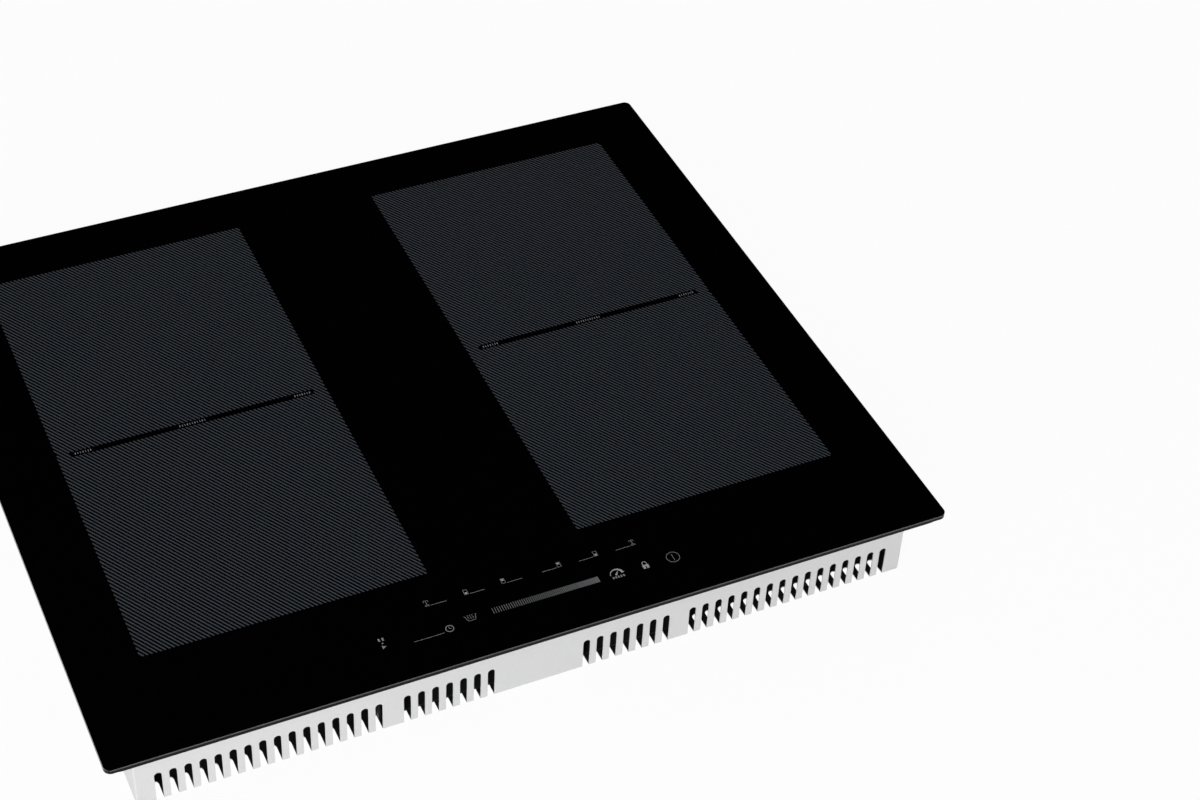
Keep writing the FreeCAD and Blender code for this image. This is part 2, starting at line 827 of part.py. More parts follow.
def make_coil_plate(name, side):
    """An aluminium channel under both coils of a zone, with a window for their leads."""
    body = new_body(name)
    foot = f"({PLATE_UNDER} - plate_flange)"
    outline = new_sketch(body, "XY_Plane", z=foot)
    rectangle(outline, "zone_width", "zone_depth")
    pad(body, outline, "plate_flange + plate_thickness")
    channel = new_sketch(body, "XY_Plane", z=foot)
    rectangle(channel, "zone_width - 2 * plate_thickness", "2 * zone_depth")
    pocket(body, channel, "plate_flange")
    window = new_sketch(body, "XY_Plane", z=PLATE_TOP)
    rectangle(window, "plate_window_width", "plate_window_depth")
    pocket(body, window, "plate_flange")
    place(body, x=f"{side} * {ZONE_X}", y=ZONE_Y)
    return keep(body, name)


def make_plate_posts():
    """Four posts under each coil plate, each with a broad foot on the base."""
    posts = []
    for _, side in SIDES:
        for sx in (-1, 1):
            for sy in (-1, 1):
                x = f"{side} * {ZONE_X} + {sx} * (zone_width / 2 - post_inset)"
                y = f"{ZONE_Y} + {sy} * (zone_depth / 2 - post_inset)"
                foot = block(
                    (f"{x} - post_foot / 2", f"{y} - post_foot / 2", "casing_sheet"),
                    ("post_foot", "post_foot", "post_foot_height"),
                )
                column = block(
                    (f"{x} - post_side / 2", f"{y} - post_side / 2", "casing_sheet"),
                    ("post_side", "post_side", f"{PLATE_UNDER} - casing_sheet"),
                )
                posts.append(fuse([foot, column]))
    return keep(group(posts), "plate_posts")


# ---- boards ---------------------------------------------------------------------------------------------


def board_corners():
    """Lowest corners of the pegs: one under each corner of the three boards."""
    boards = [("-filter_width / 2", "filter_width", FILTER_FRONT, "filter_depth")]
    for _, side in SIDES:
        middle = f"{side} * (power_board_inner + power_board_width / 2)"
        west = f"{middle} - power_board_width / 2"
        boards.append((west, "power_board_width", POWER_FRONT, "power_board_depth"))
    corners = []
    for west, width, south, depth in boards:
        for x in (west, f"{west} + {width} - peg_side"):
            for y in (south, f"{south} + {depth} - peg_side"):
                corners.append((x, y))
    return corners


def make_board_carrier():
    """A moulded deck on the base, with pegs that hold the boards clear of the metal."""
    deck = block(
        ("-deck_width / 2", DECK_FRONT, "casing_sheet"),
        ("deck_width", f"{DECK_BACK} - {DECK_FRONT}", "deck_thickness"),
    )
    pegs = [
        block((x, y, "casing_sheet"), ("peg_side", "peg_side", "board_level - casing_sheet"))
        for x, y in board_corners()
    ]
    return keep(fuse([deck] + pegs), "board_carrier")


def make_power_board(name, side):
    middle = f"{side} * (power_board_inner + power_board_width / 2)"
    board = block(
        (f"{middle} - power_board_width / 2", POWER_FRONT, "board_level"),
        ("power_board_width", "power_board_depth", "board_thickness"),
    )
    return keep(board, name)


def make_heat_sink(name, side):
    """A finned aluminium extrusion whose channels run from the blower to the front vents."""
    body = new_body(name)
    outline = new_sketch(body, "XY_Plane")
    rectangle(outline, "sink_width", "sink_length")
    pad(body, outline, "sink_height")
    pitch = "((sink_width - sink_fin) / sink_channels)"
    channel = new_sketch(body, "XY_Plane", z="sink_height")
    rectangle(
        channel, f"{pitch} - sink_fin", "2 * sink_length", x=f"-sink_width / 2 + {pitch} / 2 + sink_fin / 2"
    )
    first = pocket(body, channel, "sink_height - sink_base")
    repeat_in_line(body, [first], "X_Axis", pitch, "sink_channels")
    place(
        body,
        x=f"{side} * (sink_inner + sink_width / 2)",
        y=f"{SINK_FRONT} + sink_length / 2",
        z=BOARD_TOP,
    )
    return keep(body, name)


def make_board_row(name, width, length, height, pitch, count, x, y):
    """A row of equal box-shaped components that stand on a board, first one at the front."""
    body = new_body(name)
    outline = new_sketch(body, "XY_Plane", z=BOARD_TOP)
    rectangle(outline, width, length)
    first = pad(body, outline, height)
    repeat_in_line(body, [first], "Y_Axis", pitch, count)
    place(body, x=x, y=y)
    return keep(body, name)


def make_power_transistors(name, side):
    """Power transistors that stand against the outer side of the heat sink."""
    middle = f"({SINK_FRONT} + sink_length / 2)"
    return make_board_row(
        name,
        "transistor_depth",
        "transistor_width",
        "transistor_height",
        "transistor_pitch",
        "transistor_count",
        f"{side} * (sink_inner + sink_width + transistor_depth / 2)",
        f"{middle} - transistor_pitch * (transistor_count - 1) / 2",
    )


def make_film_capacitors(name, side):
    """Film capacitors in a row along the outer edge of the power board."""
    return make_board_row(
        name,
        "capacitor_width",
        "capacitor_length",
        "capacitor_height",
        "capacitor_pitch",
        "capacitor_count",
        f"{side} * (power_board_inner + power_board_width - capacitor_inset - capacitor_width / 2)",
        f"{POWER_FRONT} + power_board_depth / 2 - capacitor_pitch * (capacitor_count - 1) / 2",
    )


def make_filter_parts():
    """The mains filter between the power boards: board, choke and two capacitors."""
    board = block(
        ("-filter_width / 2", FILTER_FRONT, "board_level"),
        ("filter_width", "filter_depth", "board_thickness"),
    )
    keep(board, "filter_board")
    middle = f"{FILTER_FRONT} + filter_depth / 2 + choke_back"
    halves = [
        block(
            (f"choke_across - {part}_width / 2", f"{middle} - {part}_depth / 2", BOARD_TOP),
            (f"{part}_width", f"{part}_depth", f"{part}_height"),
        )
        for part in ("core", "bobbin")
    ]
    keep(fuse(halves), "filter_choke")
    make_board_row(
        "filter_capacitors",
        "suppressor_width",
        "suppressor_depth",
        "suppressor_height",
        "suppressor_pitch",
        "suppressor_count",
        "suppressor_across",
        f"{FILTER_FRONT} + suppressor_start",
    )


# ---- blowers --------------------------------------------------------------------------------------------


def fan_outline(body, z, inset, height, cutting=False):
    """The blower's round chamber and its straight mouth, as two features drawn at an inset."""
    features = []
    for shape in ("chamber", "mouth"):
        drawing = new_sketch(body, "XY_Plane", z=z)
        if shape == "chamber":
            many_sided(drawing, f"fan_radius - {inset}", sides="fan_sides")
        else:
            reach = "fan_mouth_reach * 2" if cutting else "fan_mouth_reach"
            rectangle(drawing, f"fan_mouth_width - 2 * {inset}", reach, y=f"-({reach}) / 2")
        if cutting:
            features.append(pocket(body, drawing, height))
        else:
            features.append(pad(body, drawing, height))
    return features


def place_fan(piece, side):
    place(piece, x=f"{side} * fan_across", y=FAN_Y, z="casing_sheet")


def make_fan_housing(name, side):
    """The lower shell: floor with the inlet, and the wall round the rotor, open to the front."""
    body = new_body(name)
    fan_outline(body, "0", "0", "fan_height")
    fan_outline(body, "fan_height", "fan_wall", "fan_height - fan_wall", cutting=True)
    inlet = new_sketch(body, "XY_Plane")
    many_sided(inlet, "fan_inlet", sides="fan_sides")
    pocket(body, inlet, "fan_wall")
    place_fan(body, side)
    return keep(body, name)


def make_fan_cover(name, side):
    """The upper shell, with the bearing boss that the rotor's shaft turns in."""
    body = new_body(name)
    fan_outline(body, "fan_height", "0", "fan_wall")
    boss = new_sketch(body, "XY_Plane", z="fan_height - boss_length")
    many_sided(boss, "boss_radius")
    pad(body, boss, "boss_length")
    bore = new_sketch(body, "XY_Plane", z="fan_height - boss_length")
    circle(bore, "shaft_radius + shaft_clearance")
    pocket(body, bore, "bearing_depth")
    place_fan(body, side)
    return keep(body, name)


def make_fan_rotor(name, side):
    """A disc with a ring of blades below it, a magnet cup in the middle and the shaft above."""
    body = new_body(name)
    disc_level = "(rotor_lift + blade_height)"
    disc = new_sketch(body, "XY_Plane", z=disc_level)
    many_sided(disc, "rotor_radius", sides="fan_sides")
    pad(body, disc, "rotor_disc")
    cup = new_sketch(body, "XY_Plane", z=f"{disc_level} - blade_height / 2")
    many_sided(cup, "magnet_radius")
    many_sided(cup, "magnet_radius - magnet_wall")
    pad(body, cup, "blade_height / 2")
    shaft = new_sketch(body, "XY_Plane", z=f"{disc_level} + rotor_disc")
    circle(shaft, "shaft_radius")
    pad(body, shaft, "shaft_length")
    blade = new_sketch(body, "XY_Plane", z="rotor_lift")
    tip = "(rotor_radius - blade_inset)"
    root = f"({tip} - blade_chord)"
    polygon(
        blade,
        [
            (root, "0"),
            (f"{tip} - knee_in", "-knee_lean"),
            (tip, "-tip_lean"),
            (tip, "blade_thickness - tip_lean"),
            (f"{tip} - knee_in", "blade_thickness - knee_lean"),
            (root, "blade_thickness"),
        ],
    )
    first = pad(body, blade, "blade_height")
    repeat_round(body, [first], "rotor_blades")
    place_fan(body, side)
    return keep(body, name)


# ---- touch control --------------------------------------------------------------------------------------


def make_control_tray():
    """A square tube on the base that carries the touch board; it stands back from the front vents."""
    body = new_body("control_tray")
    height = "(touch_board_level - casing_sheet)"
    tube = new_sketch(
        body,
        "XZ_Plane",
        y=f"casing_sheet + {height} / 2",
        z=f"-{CONTROL_FRONT} - control_depth / 2",
    )
    rectangle(tube, "control_width", height)
    rectangle(tube, "control_width - 2 * control_wall", f"{height} - 2 * control_wall")
    pad(body, tube, "control_depth", both_ways=True)
    return keep(body, "control_tray")


def key_columns():
    """Where the two groups of three zone keys stand across the glass, left to right."""
    left = [f"left_key - {step} * key_pitch" for step in (2, 1, 0)]
    right = [f"right_key + {step} * key_pitch" for step in (0, 1, 2)]
    return left, right


def make_touch_parts():
    """The touch board, the springy pads that carry each key to the glass, and the displays."""
    width = "(control_width - 2 * touch_board_inset)"
    board = block(
        (f"-{width} / 2", f"{CONTROL_FRONT} + touch_board_inset / 2", "touch_board_level"),
        (width, "touch_board_depth", "board_thickness"),
    )
    keep(board, "touch_board")
    left, right = key_columns()
    slider = [f"slider_start + {step} * slider_pitch" for step in range(int(size("slider_pads")))]
    singles = ["go_key", "timer_key", "warm_key", "power_up_key", "lock_key", "power_key"]
    places = [(x, KEY_ROW) for x in left + right]
    places += [(x, SLIDER_ROW) for x in slider + singles]
    pads = [
        block(
            (f"{x} - pad_side / 2", f"{y} - pad_side / 2", TOUCH_TOP),
            ("pad_side", "pad_side", f"{GLASS_UNDER} - {TOUCH_TOP}"),
        )
        for x, y in places
    ]
    keep(group(pads), "touch_pads")
    beside = "(pad_side / 2 + display_gap)"
    corners = [f"{x} + {beside}" for x in left]
    corners += [f"{x} - {beside} - display_width" for x in right]
    displays = [
        block(
            (x, f"{KEY_ROW} - display_depth / 2", TOUCH_TOP),
            ("display_width", "display_depth", f"{GLASS_UNDER} - {TOUCH_TOP} - display_gap / 2"),
        )
        for x in corners
    ]
    keep(group(displays), "display_modules")


def make_control_ribbon():
    """A flat cable from the touch board down to the base and back to the filter board."""
    body = new_body("control_ribbon")
    drop = f"({CONTROL_FRONT} + control_depth + ribbon_play)"
    start = f"({drop} - ribbon_overlap)"
    rise = f"({FILTER_FRONT} - ribbon_rise)"
    end = f"({FILTER_FRONT} + ribbon_landing)"
    low = DECK_TOP
    path = [
        (start, TOUCH_TOP),
        (drop, TOUCH_TOP),
        (drop, low),
        (rise, low),
        (rise, BOARD_TOP),
        (end, BOARD_TOP),
    ]
    side_shift = ("0", "1", "1", "-1", "-1", "0")
    back = [
        (f"{y} + {shift} * ribbon_thickness", f"{z} + ribbon_thickness")
        for (y, z), shift in zip(path, side_shift)
    ]
    outline = new_sketch(body, "YZ_Plane")
    polygon(outline, path + back[::-1])
    pad(body, outline, "ribbon_width", both_ways=True)
    return keep(body, "control_ribbon")


# ---- coil leads -----------------------------------------------------------------------------------------


def lead_along(points):
    """A six-sided sleeve along straight runs, with a bend of a few chords at each corner."""
    bend = size("lead_bend")
    edges = []
    start = points[0]
    for before, corner, after in zip(points, points[1:], points[2:]):
        into = (corner - before).normalize()
        out = (after - corner).normalize()
        begin = corner - into * bend
        end = corner + out * bend
        centre = corner + (out - into) * bend
        middle = centre - (out - into).normalize() * bend
        for turn in Part.Arc(begin, middle, end).discretize(int(size("lead_bend_chords")) + 1):
            edges.append(Part.LineSegment(start, turn).toShape())
            start = turn
    edges.append(Part.LineSegment(start, points[-1]).toShape())
    direction = (points[1] - points[0]).normalize()
    across = direction.cross(Vector(1, 0, 0))
    if across.Length < 0.5:
        across = direction.cross(Vector(0, 1, 0))
    across.normalize()
    other = direction.cross(across)
    radius = size("lead_radius")
    angles = [2 * math.pi * i / HEX_SIDES for i in range(HEX_SIDES + 1)]
    ring = [points[0] + (across * math.cos(a) + other * math.sin(a)) * radius for a in angles]
    return Part.Wire(edges).makePipeShell([Part.makePolygon(ring)], True, False, 1)


def make_coil_leads():
    """Two leads from each coil through the plate's window down to the power board."""
    rise = size("board_level") + size("board_thickness")
    glass = size("casing_height") + size("glass_lift")
    winding_middle = glass - size("mica_thickness") - size("winding_height") / 2
    under_carrier = (
        winding_middle - size("winding_height") / 2 - size("carrier_thickness") - size("ferrite_height") / 2
    )
    zone_x = size("zone_inner") + size("zone_width") / 2
    zone_y = size("glass_depth") / 2 - size("zone_back") - size("zone_depth") / 2
    edge = size("coil_margin") + size("winding_rim")
    column = size("coil_margin") - size("lead_radius") - size("lead_play")
    inner_end = size("zone_depth") / 4 - size("ferrite_start")
    leads = []
    for _, side in SIDES:
        for _, row in ROWS:
            across = side * (zone_x + size("lead_offset"))
            near = zone_y + row * column
            leads.append(
                lead_along(
                    [
                        Vector(across, near, rise),
                        Vector(across, near, under_carrier),
                        Vector(across, zone_y + row * inner_end, under_carrier),
                    ]
                )
            )
            across = side * (zone_x + size("lead_offset") + size("lead_spacing"))
            leads.append(
                lead_along(
                    [
                        Vector(across, near, rise),
                        Vector(across, near, winding_middle),
                        Vector(across, zone_y + row * edge, winding_middle),
                    ]
                )
            )
    piece = doc.addObject("Part::Feature", "Leads")
    piece.Shape = Part.makeCompound(leads)
    return keep(piece, "coil_leads")


# ---- mains terminal -------------------------------------------------------------------------------------


def make_terminal_box():
    """A moulded box inside the back wall, open to the back, with the cable entry in its floor."""
    body = new_body("terminal_box")
    outline = new_sketch(body, "XY_Plane", z="casing_sheet")
    rectangle(outline, "terminal_width", "terminal_depth", y=f"{BACK_WALL} - terminal_depth / 2")
    pad(body, outline, "terminal_height - casing_sheet")
    entry_y = f"{CASING_DEPTH} / 2 - entry_in"
    hollow = new_sketch(body, "XY_Plane", z="(terminal_height + casing_sheet) / 2")
    rectangle(
        hollow,
        "window_width",
        "terminal_depth",
        y=f"{BACK_WALL} - terminal_depth / 2 + terminal_wall",
    )
    pocket(body, hollow, "(terminal_height - casing_sheet) / 2 - terminal_wall")
    collar = new_sketch(body, "XY_Plane")
    many_sided(collar, "entry_collar", x="entry_across", y=entry_y)
    pad(body, collar, "entry_length")
    bore = new_sketch(body, "XY_Plane")
    circle(bore, "entry_bore", x="entry_across", y=entry_y)
    pocket(body, bore, "entry_length")
    pivots = new_sketch(body, "YZ_Plane")
    circle(pivots, "hinge_pin + hinge_clearance", x=HINGE_Y, y=HINGE_LEVEL)
    pocket(body, pivots, "terminal_width")
    return keep(body, "terminal_box")


def make_terminal_cover():
    """A flat cover flush with the back wall, with a finger notch, and lugs whose pins snap into the box."""
    body = new_body("terminal_cover")
    width = "(window_width - 2 * cover_gap)"
    outline = new_sketch(body, "XY_Plane", z=COVER_LOW)
    rectangle(outline, width, "cover_thickness", y=f"{CASING_DEPTH} / 2 - cover_thickness / 2")
    pad(body, outline, f"{COVER_HIGH} - {COVER_LOW}")
    for sign in (-1, 1):
        lug = new_sketch(body, "XY_Plane", z=f"{HINGE_LEVEL} - hinge_lug / 2")
        rectangle(
            lug,
            "hinge_lug",
            "hinge_lug",
            x=f"{sign} * ({width} / 2 - hinge_lug / 2)",
            y=HINGE_Y,
        )
        pad(body, lug, "hinge_lug")
    notch = new_sketch(body, "XZ_Plane", y=COVER_LOW, z=f"cover_thickness / 2 - {CASING_DEPTH} / 2")
    many_sided(notch, "notch_radius")
    pocket(body, notch, "cover_thickness")
    pins = new_sketch(body, "YZ_Plane", z=f"-{width} / 2 - terminal_wall - cover_gap / 2")
    circle(pins, "hinge_pin", x=HINGE_Y, y=HINGE_LEVEL)
    pad(body, pins, "terminal_wall + cover_gap / 2 + hinge_lug / 2")
    pins = new_sketch(body, "YZ_Plane", z=f"{width} / 2 - hinge_lug / 2")
    circle(pins, "hinge_pin", x=HINGE_Y, y=HINGE_LEVEL)
    pad(body, pins, "terminal_wall + cover_gap / 2 + hinge_lug / 2")
    return keep(body, "terminal_cover")


def make_terminal_block():
    """The screw terminal that the mains wires end in: ports towards the back, screw wells on top."""
    body = new_body("terminal_block")
    floor = "(casing_sheet + terminal_wall)"
    outline = new_sketch(body, "XY_Plane", z=floor)
    rectangle(outline, "strip_width", "strip_depth")
    pad(body, outline, "strip_height")
    port = new_sketch(
        body,
        "XZ_Plane",
        x="-port_pitch * (port_count - 1) / 2",
        y=f"{floor} + port_level",
        z="-strip_depth / 2",
    )
    rectangle(port, "port_width", "port_height")
    first = pocket(body, port, "port_depth")
    well = new_sketch(
        body, "XY_Plane", x="-port_pitch * (port_count - 1) / 2", z=f"{floor} + strip_height"
    )
    many_sided(well, "well_radius")
    first_well = pocket(body, well, "well_depth")
    repeat_in_line(body, [first, first_well], "X_Axis", "port_pitch", "port_count")
    place(body, x="strip_across", y=f"{BACK_WALL} - strip_in")
    return keep(body, "terminal_block")


def make_cable_clamp():
    """A saddle on the box's floor that grips the cable just past its entry."""
    body = new_body("cable_clamp")
    floor = "(casing_sheet + terminal_wall)"
    grip = "(entry_bore - clamp_bite)"
    outline = new_sketch(
        body, "YZ_Plane", x=f"{CASING_DEPTH} / 2 - entry_in", z="entry_across + clamp_beside"
    )
    west = f"-{grip} - clamp_wall"
    east = f"{grip} + clamp_wall"
    top = f"{floor} + 2 * {grip} + clamp_wall"
    inner = f"{floor} + 2 * {grip}"
    polygon(
        outline,
        [
            (west, floor),
            (west, top),
            (east, top),
            (east, floor),
            (grip, floor),
            (grip, inner),
            (f"-{grip}", inner),
            (f"-{grip}", floor),
        ],
    )
    pad(body, outline, "clamp_length", both_ways=True)
    return keep(body, "cable_clamp")


# ---- clips and screws -----------------------------------------------------------------------------------


def clip_places():
    """Name, side and row of the four clips on the side walls."""
    return [(f"{row_name}_{side_name}", side, row) for side_name, side in SIDES for row_name, row in ROWS]


def make_clip_plates():
    """The screwed-down upper ends of the four side clips."""
    plates = []
    for _, side, row in clip_places():
        low = f"{CASING_WIDTH} / 2" if side > 0 else f"-{CASING_WIDTH} / 2 - clip_sheet"
        sheet_piece = block(
            (low, f"{row} * clip_along - clip_width / 2", "clip_fold"),
            ("clip_sheet", "clip_width", "clip_top - clip_fold"),
        )
        hole = prism(
            (low, f"{row} * clip_along", "screw_level"),
            "screw_radius + screw_play",
            int(size("round_sides")),
            "clip_sheet",
            turn=Rotation(Vector(0, 1, 0), 90),
        )
        plates.append(cut(sheet_piece, hole))
    return keep(group(plates), "clip_plates")


def make_side_clip(name, side, row):
    """The bowed leaf of a side clip, just below the fold that it springs about."""
    body = new_body(name)
    top = "(clip_fold - clip_fold_gap)"
    outline = new_sketch(body, "XZ_Plane")
    polygon(
        outline,
        [
            ("0", top),
            ("clip_sheet", top),
            ("leaf_belly + clip_sheet", f"{top} - leaf_belly_drop"),
            ("leaf_tip + clip_sheet", f"{top} - leaf_length"),
            ("leaf_tip", f"{top} - leaf_length"),
            ("leaf_belly", f"{top} - leaf_belly_drop"),
        ],
    )
    pad(body, outline, "leaf_width", both_ways=True)
    turn = Rotation(Vector(0, 0, 1), 0 if side > 0 else 180)
    place(body, x=f"{side} * {CASING_WIDTH} / 2", y=f"{row} * clip_along", turn=turn)
    return keep(body, name)


def make_screw(seat, turn, outward):
    """A hex-head screw whose head sits on the seat and whose six-sided shank points inwards."""
    x, y, z = seat
    head = prism(seat, "screw_head_radius", HEX_SIDES, "screw_head_height", turn=turn)
    inward = {"x": x, "y": y}
    axis = "x" if outward[0] else "y"
    sign = outward[0] or outward[1]
    inward[axis] = f"{inward[axis]} - ({sign}) * screw_length"
    shank = prism(
        (inward["x"], inward["y"], z),
        "screw_radius",
        HEX_SIDES,
        "screw_length + screw_head_height / 2",
        turn=turn,
    )
    return fuse([head, shank])


def make_casing_screws():
    """Four screws through the side clips and two through the back wall, all into the frame."""
    screws = []
    for _, side, row in clip_places():
        seat = (f"{side} * ({CASING_WIDTH} / 2 + clip_sheet)", f"{row} * clip_along", "screw_level")
        screws.append(make_screw(seat, Rotation(Vector(0, 1, 0), 90 * side), (side, 0)))
    for _, side in SIDES:
        seat = (f"{side} * screw_across", f"{CASING_DEPTH} / 2", "screw_level")
        screws.append(make_screw(seat, Rotation(Vector(1, 0, 0), -90), (0, 1)))
    return keep(group(screws), "casing_screws")


# ---- assembly -------------------------------------------------------------------------------------------


def make_all():
    make_glass_top()
    make_ring(
        "glass_adhesive",
        FRAME_TOP,
        "bond_thickness",
        (f"({FRAME_WIDTH} - 2 * bond_inset)", f"({FRAME_DEPTH} - 2 * bond_inset)"),
        "bond_width",
    )
    make_ring(
        "sealing_gasket",
        f"{GLASS_UNDER} - gasket_thickness",
        "gasket_thickness",
        ("(glass_width - 2 * gasket_inset)", "(glass_depth - 2 * gasket_inset)"),
        "gasket_width",
    )
    make_mounting_frame()
    make_base_tray()
    for side_name, side in SIDES:
        for row_name, row in ROWS:
            place_name = f"{row_name}_{side_name}"
            make_coil_carrier(f"coil_carrier_{place_name}", side, row)
            make_ferrite_bars(f"ferrite_bars_{place_name}", side, row)
            make_temperature_sensor(f"temperature_sensor_{place_name}", side, row)
            make_coil_winding(f"coil_winding_{place_name}", side, row)
        make_mica_sheet(f"mica_sheet_{side_name}", side)
        make_coil_plate(f"coil_plate_{side_name}", side)
        make_power_board(f"power_board_{side_name}", side)
        make_heat_sink(f"heat_sink_{side_name}", side)
        make_power_transistors(f"power_transistors_{side_name}", side)
        make_film_capacitors(f"film_capacitors_{side_name}", side)
        make_fan_housing(f"fan_housing_{side_name}", side)
        make_fan_cover(f"fan_cover_{side_name}", side)
        make_fan_rotor(f"fan_rotor_{side_name}", side)
    make_plate_posts()
    make_board_carrier()
    make_filter_parts()
    make_control_tray()
    make_touch_parts()
    make_control_ribbon()
    make_coil_leads()
    make_terminal_box()
    make_terminal_cover()
    make_terminal_block()
    make_cable_clamp()
    make_clip_plates()
    for place_name, side, row in clip_places():
        make_side_clip(f"side_clip_{place_name}", side, row)
    make_casing_screws()


def write_parts():
    """Check every object and every finished shape, then write one file per sub-part."""
    doc.recompute()
    for item in doc.Objects:
        if "Invalid" in item.State or "Error" in item.State:
            raise RuntimeError(f"{item.Label} did not build: {item.State}")
    for piece in nodes:
        if piece.Shape.isNull() or not piece.Shape.isValid():
            raise RuntimeError(f"{piece.Label} has no valid shape")
    os.makedirs("parts", exist_ok=True)
    for piece in nodes:
        piece.Shape.exportStep(f"parts/{piece.Label}.step")


make_all()
write_parts()
print(f"{len(nodes)} sub-parts written")
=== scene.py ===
import math

import bmesh
import bpy
import numpy as np
from mathutils import Euler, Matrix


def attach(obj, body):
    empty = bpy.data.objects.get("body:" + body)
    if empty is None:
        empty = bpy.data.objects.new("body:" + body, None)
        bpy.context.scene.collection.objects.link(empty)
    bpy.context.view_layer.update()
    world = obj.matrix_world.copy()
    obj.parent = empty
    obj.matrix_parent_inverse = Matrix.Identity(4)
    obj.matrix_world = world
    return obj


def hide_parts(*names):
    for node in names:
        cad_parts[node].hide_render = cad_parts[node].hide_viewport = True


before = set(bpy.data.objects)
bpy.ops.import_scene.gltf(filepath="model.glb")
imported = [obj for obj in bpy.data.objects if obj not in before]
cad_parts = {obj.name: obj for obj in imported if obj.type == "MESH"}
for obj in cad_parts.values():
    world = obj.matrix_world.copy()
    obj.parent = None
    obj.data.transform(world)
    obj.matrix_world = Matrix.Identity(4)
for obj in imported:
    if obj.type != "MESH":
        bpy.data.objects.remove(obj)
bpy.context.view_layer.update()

# ---- studio ---------------------------------------------------------------------------------------------
# The cooktop stands on a white table in a white room with a dark ceiling. The camera looks down on it from
# the front left with a long lens, a little tilted.

scene = bpy.context.scene
scene.view_settings.view_transform = "Standard"

camera_data = bpy.data.cameras.new("camera")
camera_data.sensor_width = 36.0
camera_data.lens = 73.927
camera_data.shift_y = -0.00167
camera_data.clip_end = 60.0
camera = bpy.data.objects.new("camera", camera_data)
camera.location = (-0.46074, -1.23223, 1.23982)
camera.rotation_euler = Euler([math.radians(angle) for angle in (47.94341, -2.35941, -24.41656)])
scene.collection.objects.link(camera)
scene.camera = camera


def node(holder, kind, inputs=None, **settings):
    """Adds one shader node with its settings. Each input is a socket that feeds it, or else a constant."""
    made = holder.node_tree.nodes.new(kind)
    for name, value in settings.items():
        setattr(made, name, value)
    for name, value in (inputs or {}).items():
        if isinstance(value, bpy.types.NodeSocket):
            holder.node_tree.links.new(value, made.inputs[name])
        else:
            made.inputs[name].default_value = value
    return made


def reckon(holder, operation, *sides):
    """One step of sums on the values at a point; each side is a number or a socket."""
    return node(holder, "ShaderNodeMath", dict(enumerate(sides)), operation=operation).outputs[0]


def mixed(holder, share, first, second):
    """The first light or surface where the share is 0 and the second where it is 1."""
    return node(holder, "ShaderNodeMixShader", {0: share, 1: first, 2: second}).outputs[0]


def blank_tree(holder):
    """Clears a material's or the world's nodes and gives back its output node."""
    holder.use_nodes = True
    holder.node_tree.nodes.clear()
    kind = "ShaderNodeOutputWorld" if isinstance(holder, bpy.types.World) else "ShaderNodeOutputMaterial"
    return holder.node_tree.nodes.new(kind)


# In reflections the room is white low down and dark overhead, so that black glass stays black.
WHITE = (1, 1, 1, 1)
room = bpy.data.worlds.new("room")
scene.world = room
room_out = blank_tree(room)
room_ray = node(room, "ShaderNodeLightPath").outputs
room_way = node(room, "ShaderNodeTexCoord")
room_height = node(room, "ShaderNodeSeparateXYZ", {"Vector": room_way.outputs["Generated"]})
room_fade = node(
    room,
    "ShaderNodeMapRange",
    {"Value": room_height.outputs["Z"], "From Min": 0.22, "From Max": 0.48, "To Min": 1.0, "To Max": 0.0},
)
room_gloss = node(room, "ShaderNodeBackground", {"Color": WHITE, "Strength": room_fade.outputs["Result"]})
room_soft = node(room, "ShaderNodeBackground", {"Color": WHITE, "Strength": 0.40})
room_white = node(room, "ShaderNodeBackground", {"Color": WHITE, "Strength": 1.0})
room_lit = mixed(room, room_ray["Is Glossy Ray"], room_soft.outputs[0], room_gloss.outputs[0])
room_straight = reckon(room, "MAXIMUM", room_ray["Is Camera Ray"], room_ray["Is Transmission Ray"])
room_seen = mixed(room, room_straight, room_lit, room_white.outputs[0])
room.node_tree.links.new(room_seen, room_out.inputs["Surface"])


def soft_lamp(name, place, target, width, power, mirrored=True):
    """A square lamp at a place, turned to face a target. Where it isn't mirrored it leaves no patch in the
    glass."""
    lamp = bpy.data.lights.new(name, "AREA")
    lamp.shape = "SQUARE"
    lamp.size = width
    lamp.energy = power
    piece = bpy.data.objects.new(name, lamp)
    piece.location = place
    way = np.array(target, float) - np.array(place, float)
    flat = math.hypot(way[0], way[1])
    piece.rotation_euler = (math.atan2(flat, -way[2]), 0.0, math.atan2(way[1], way[0]) - math.pi / 2)
    piece.visible_glossy = mirrored
    scene.collection.objects.link(piece)


soft_lamp("lamp_front_left", (-1.4, -1.6, 1.0), (0, -0.2, 0.03), 0.9, 34.0, mirrored=False)
soft_lamp("lamp_front_right", (1.9, -2.5, 1.9), (0.25, -0.2, 0.03), 0.6, 3.0)
soft_lamp("lamp_back", (1.4, 2.8, 0.7), (0, 0.1, 0.03), 1.0, 12.0, mirrored=False)

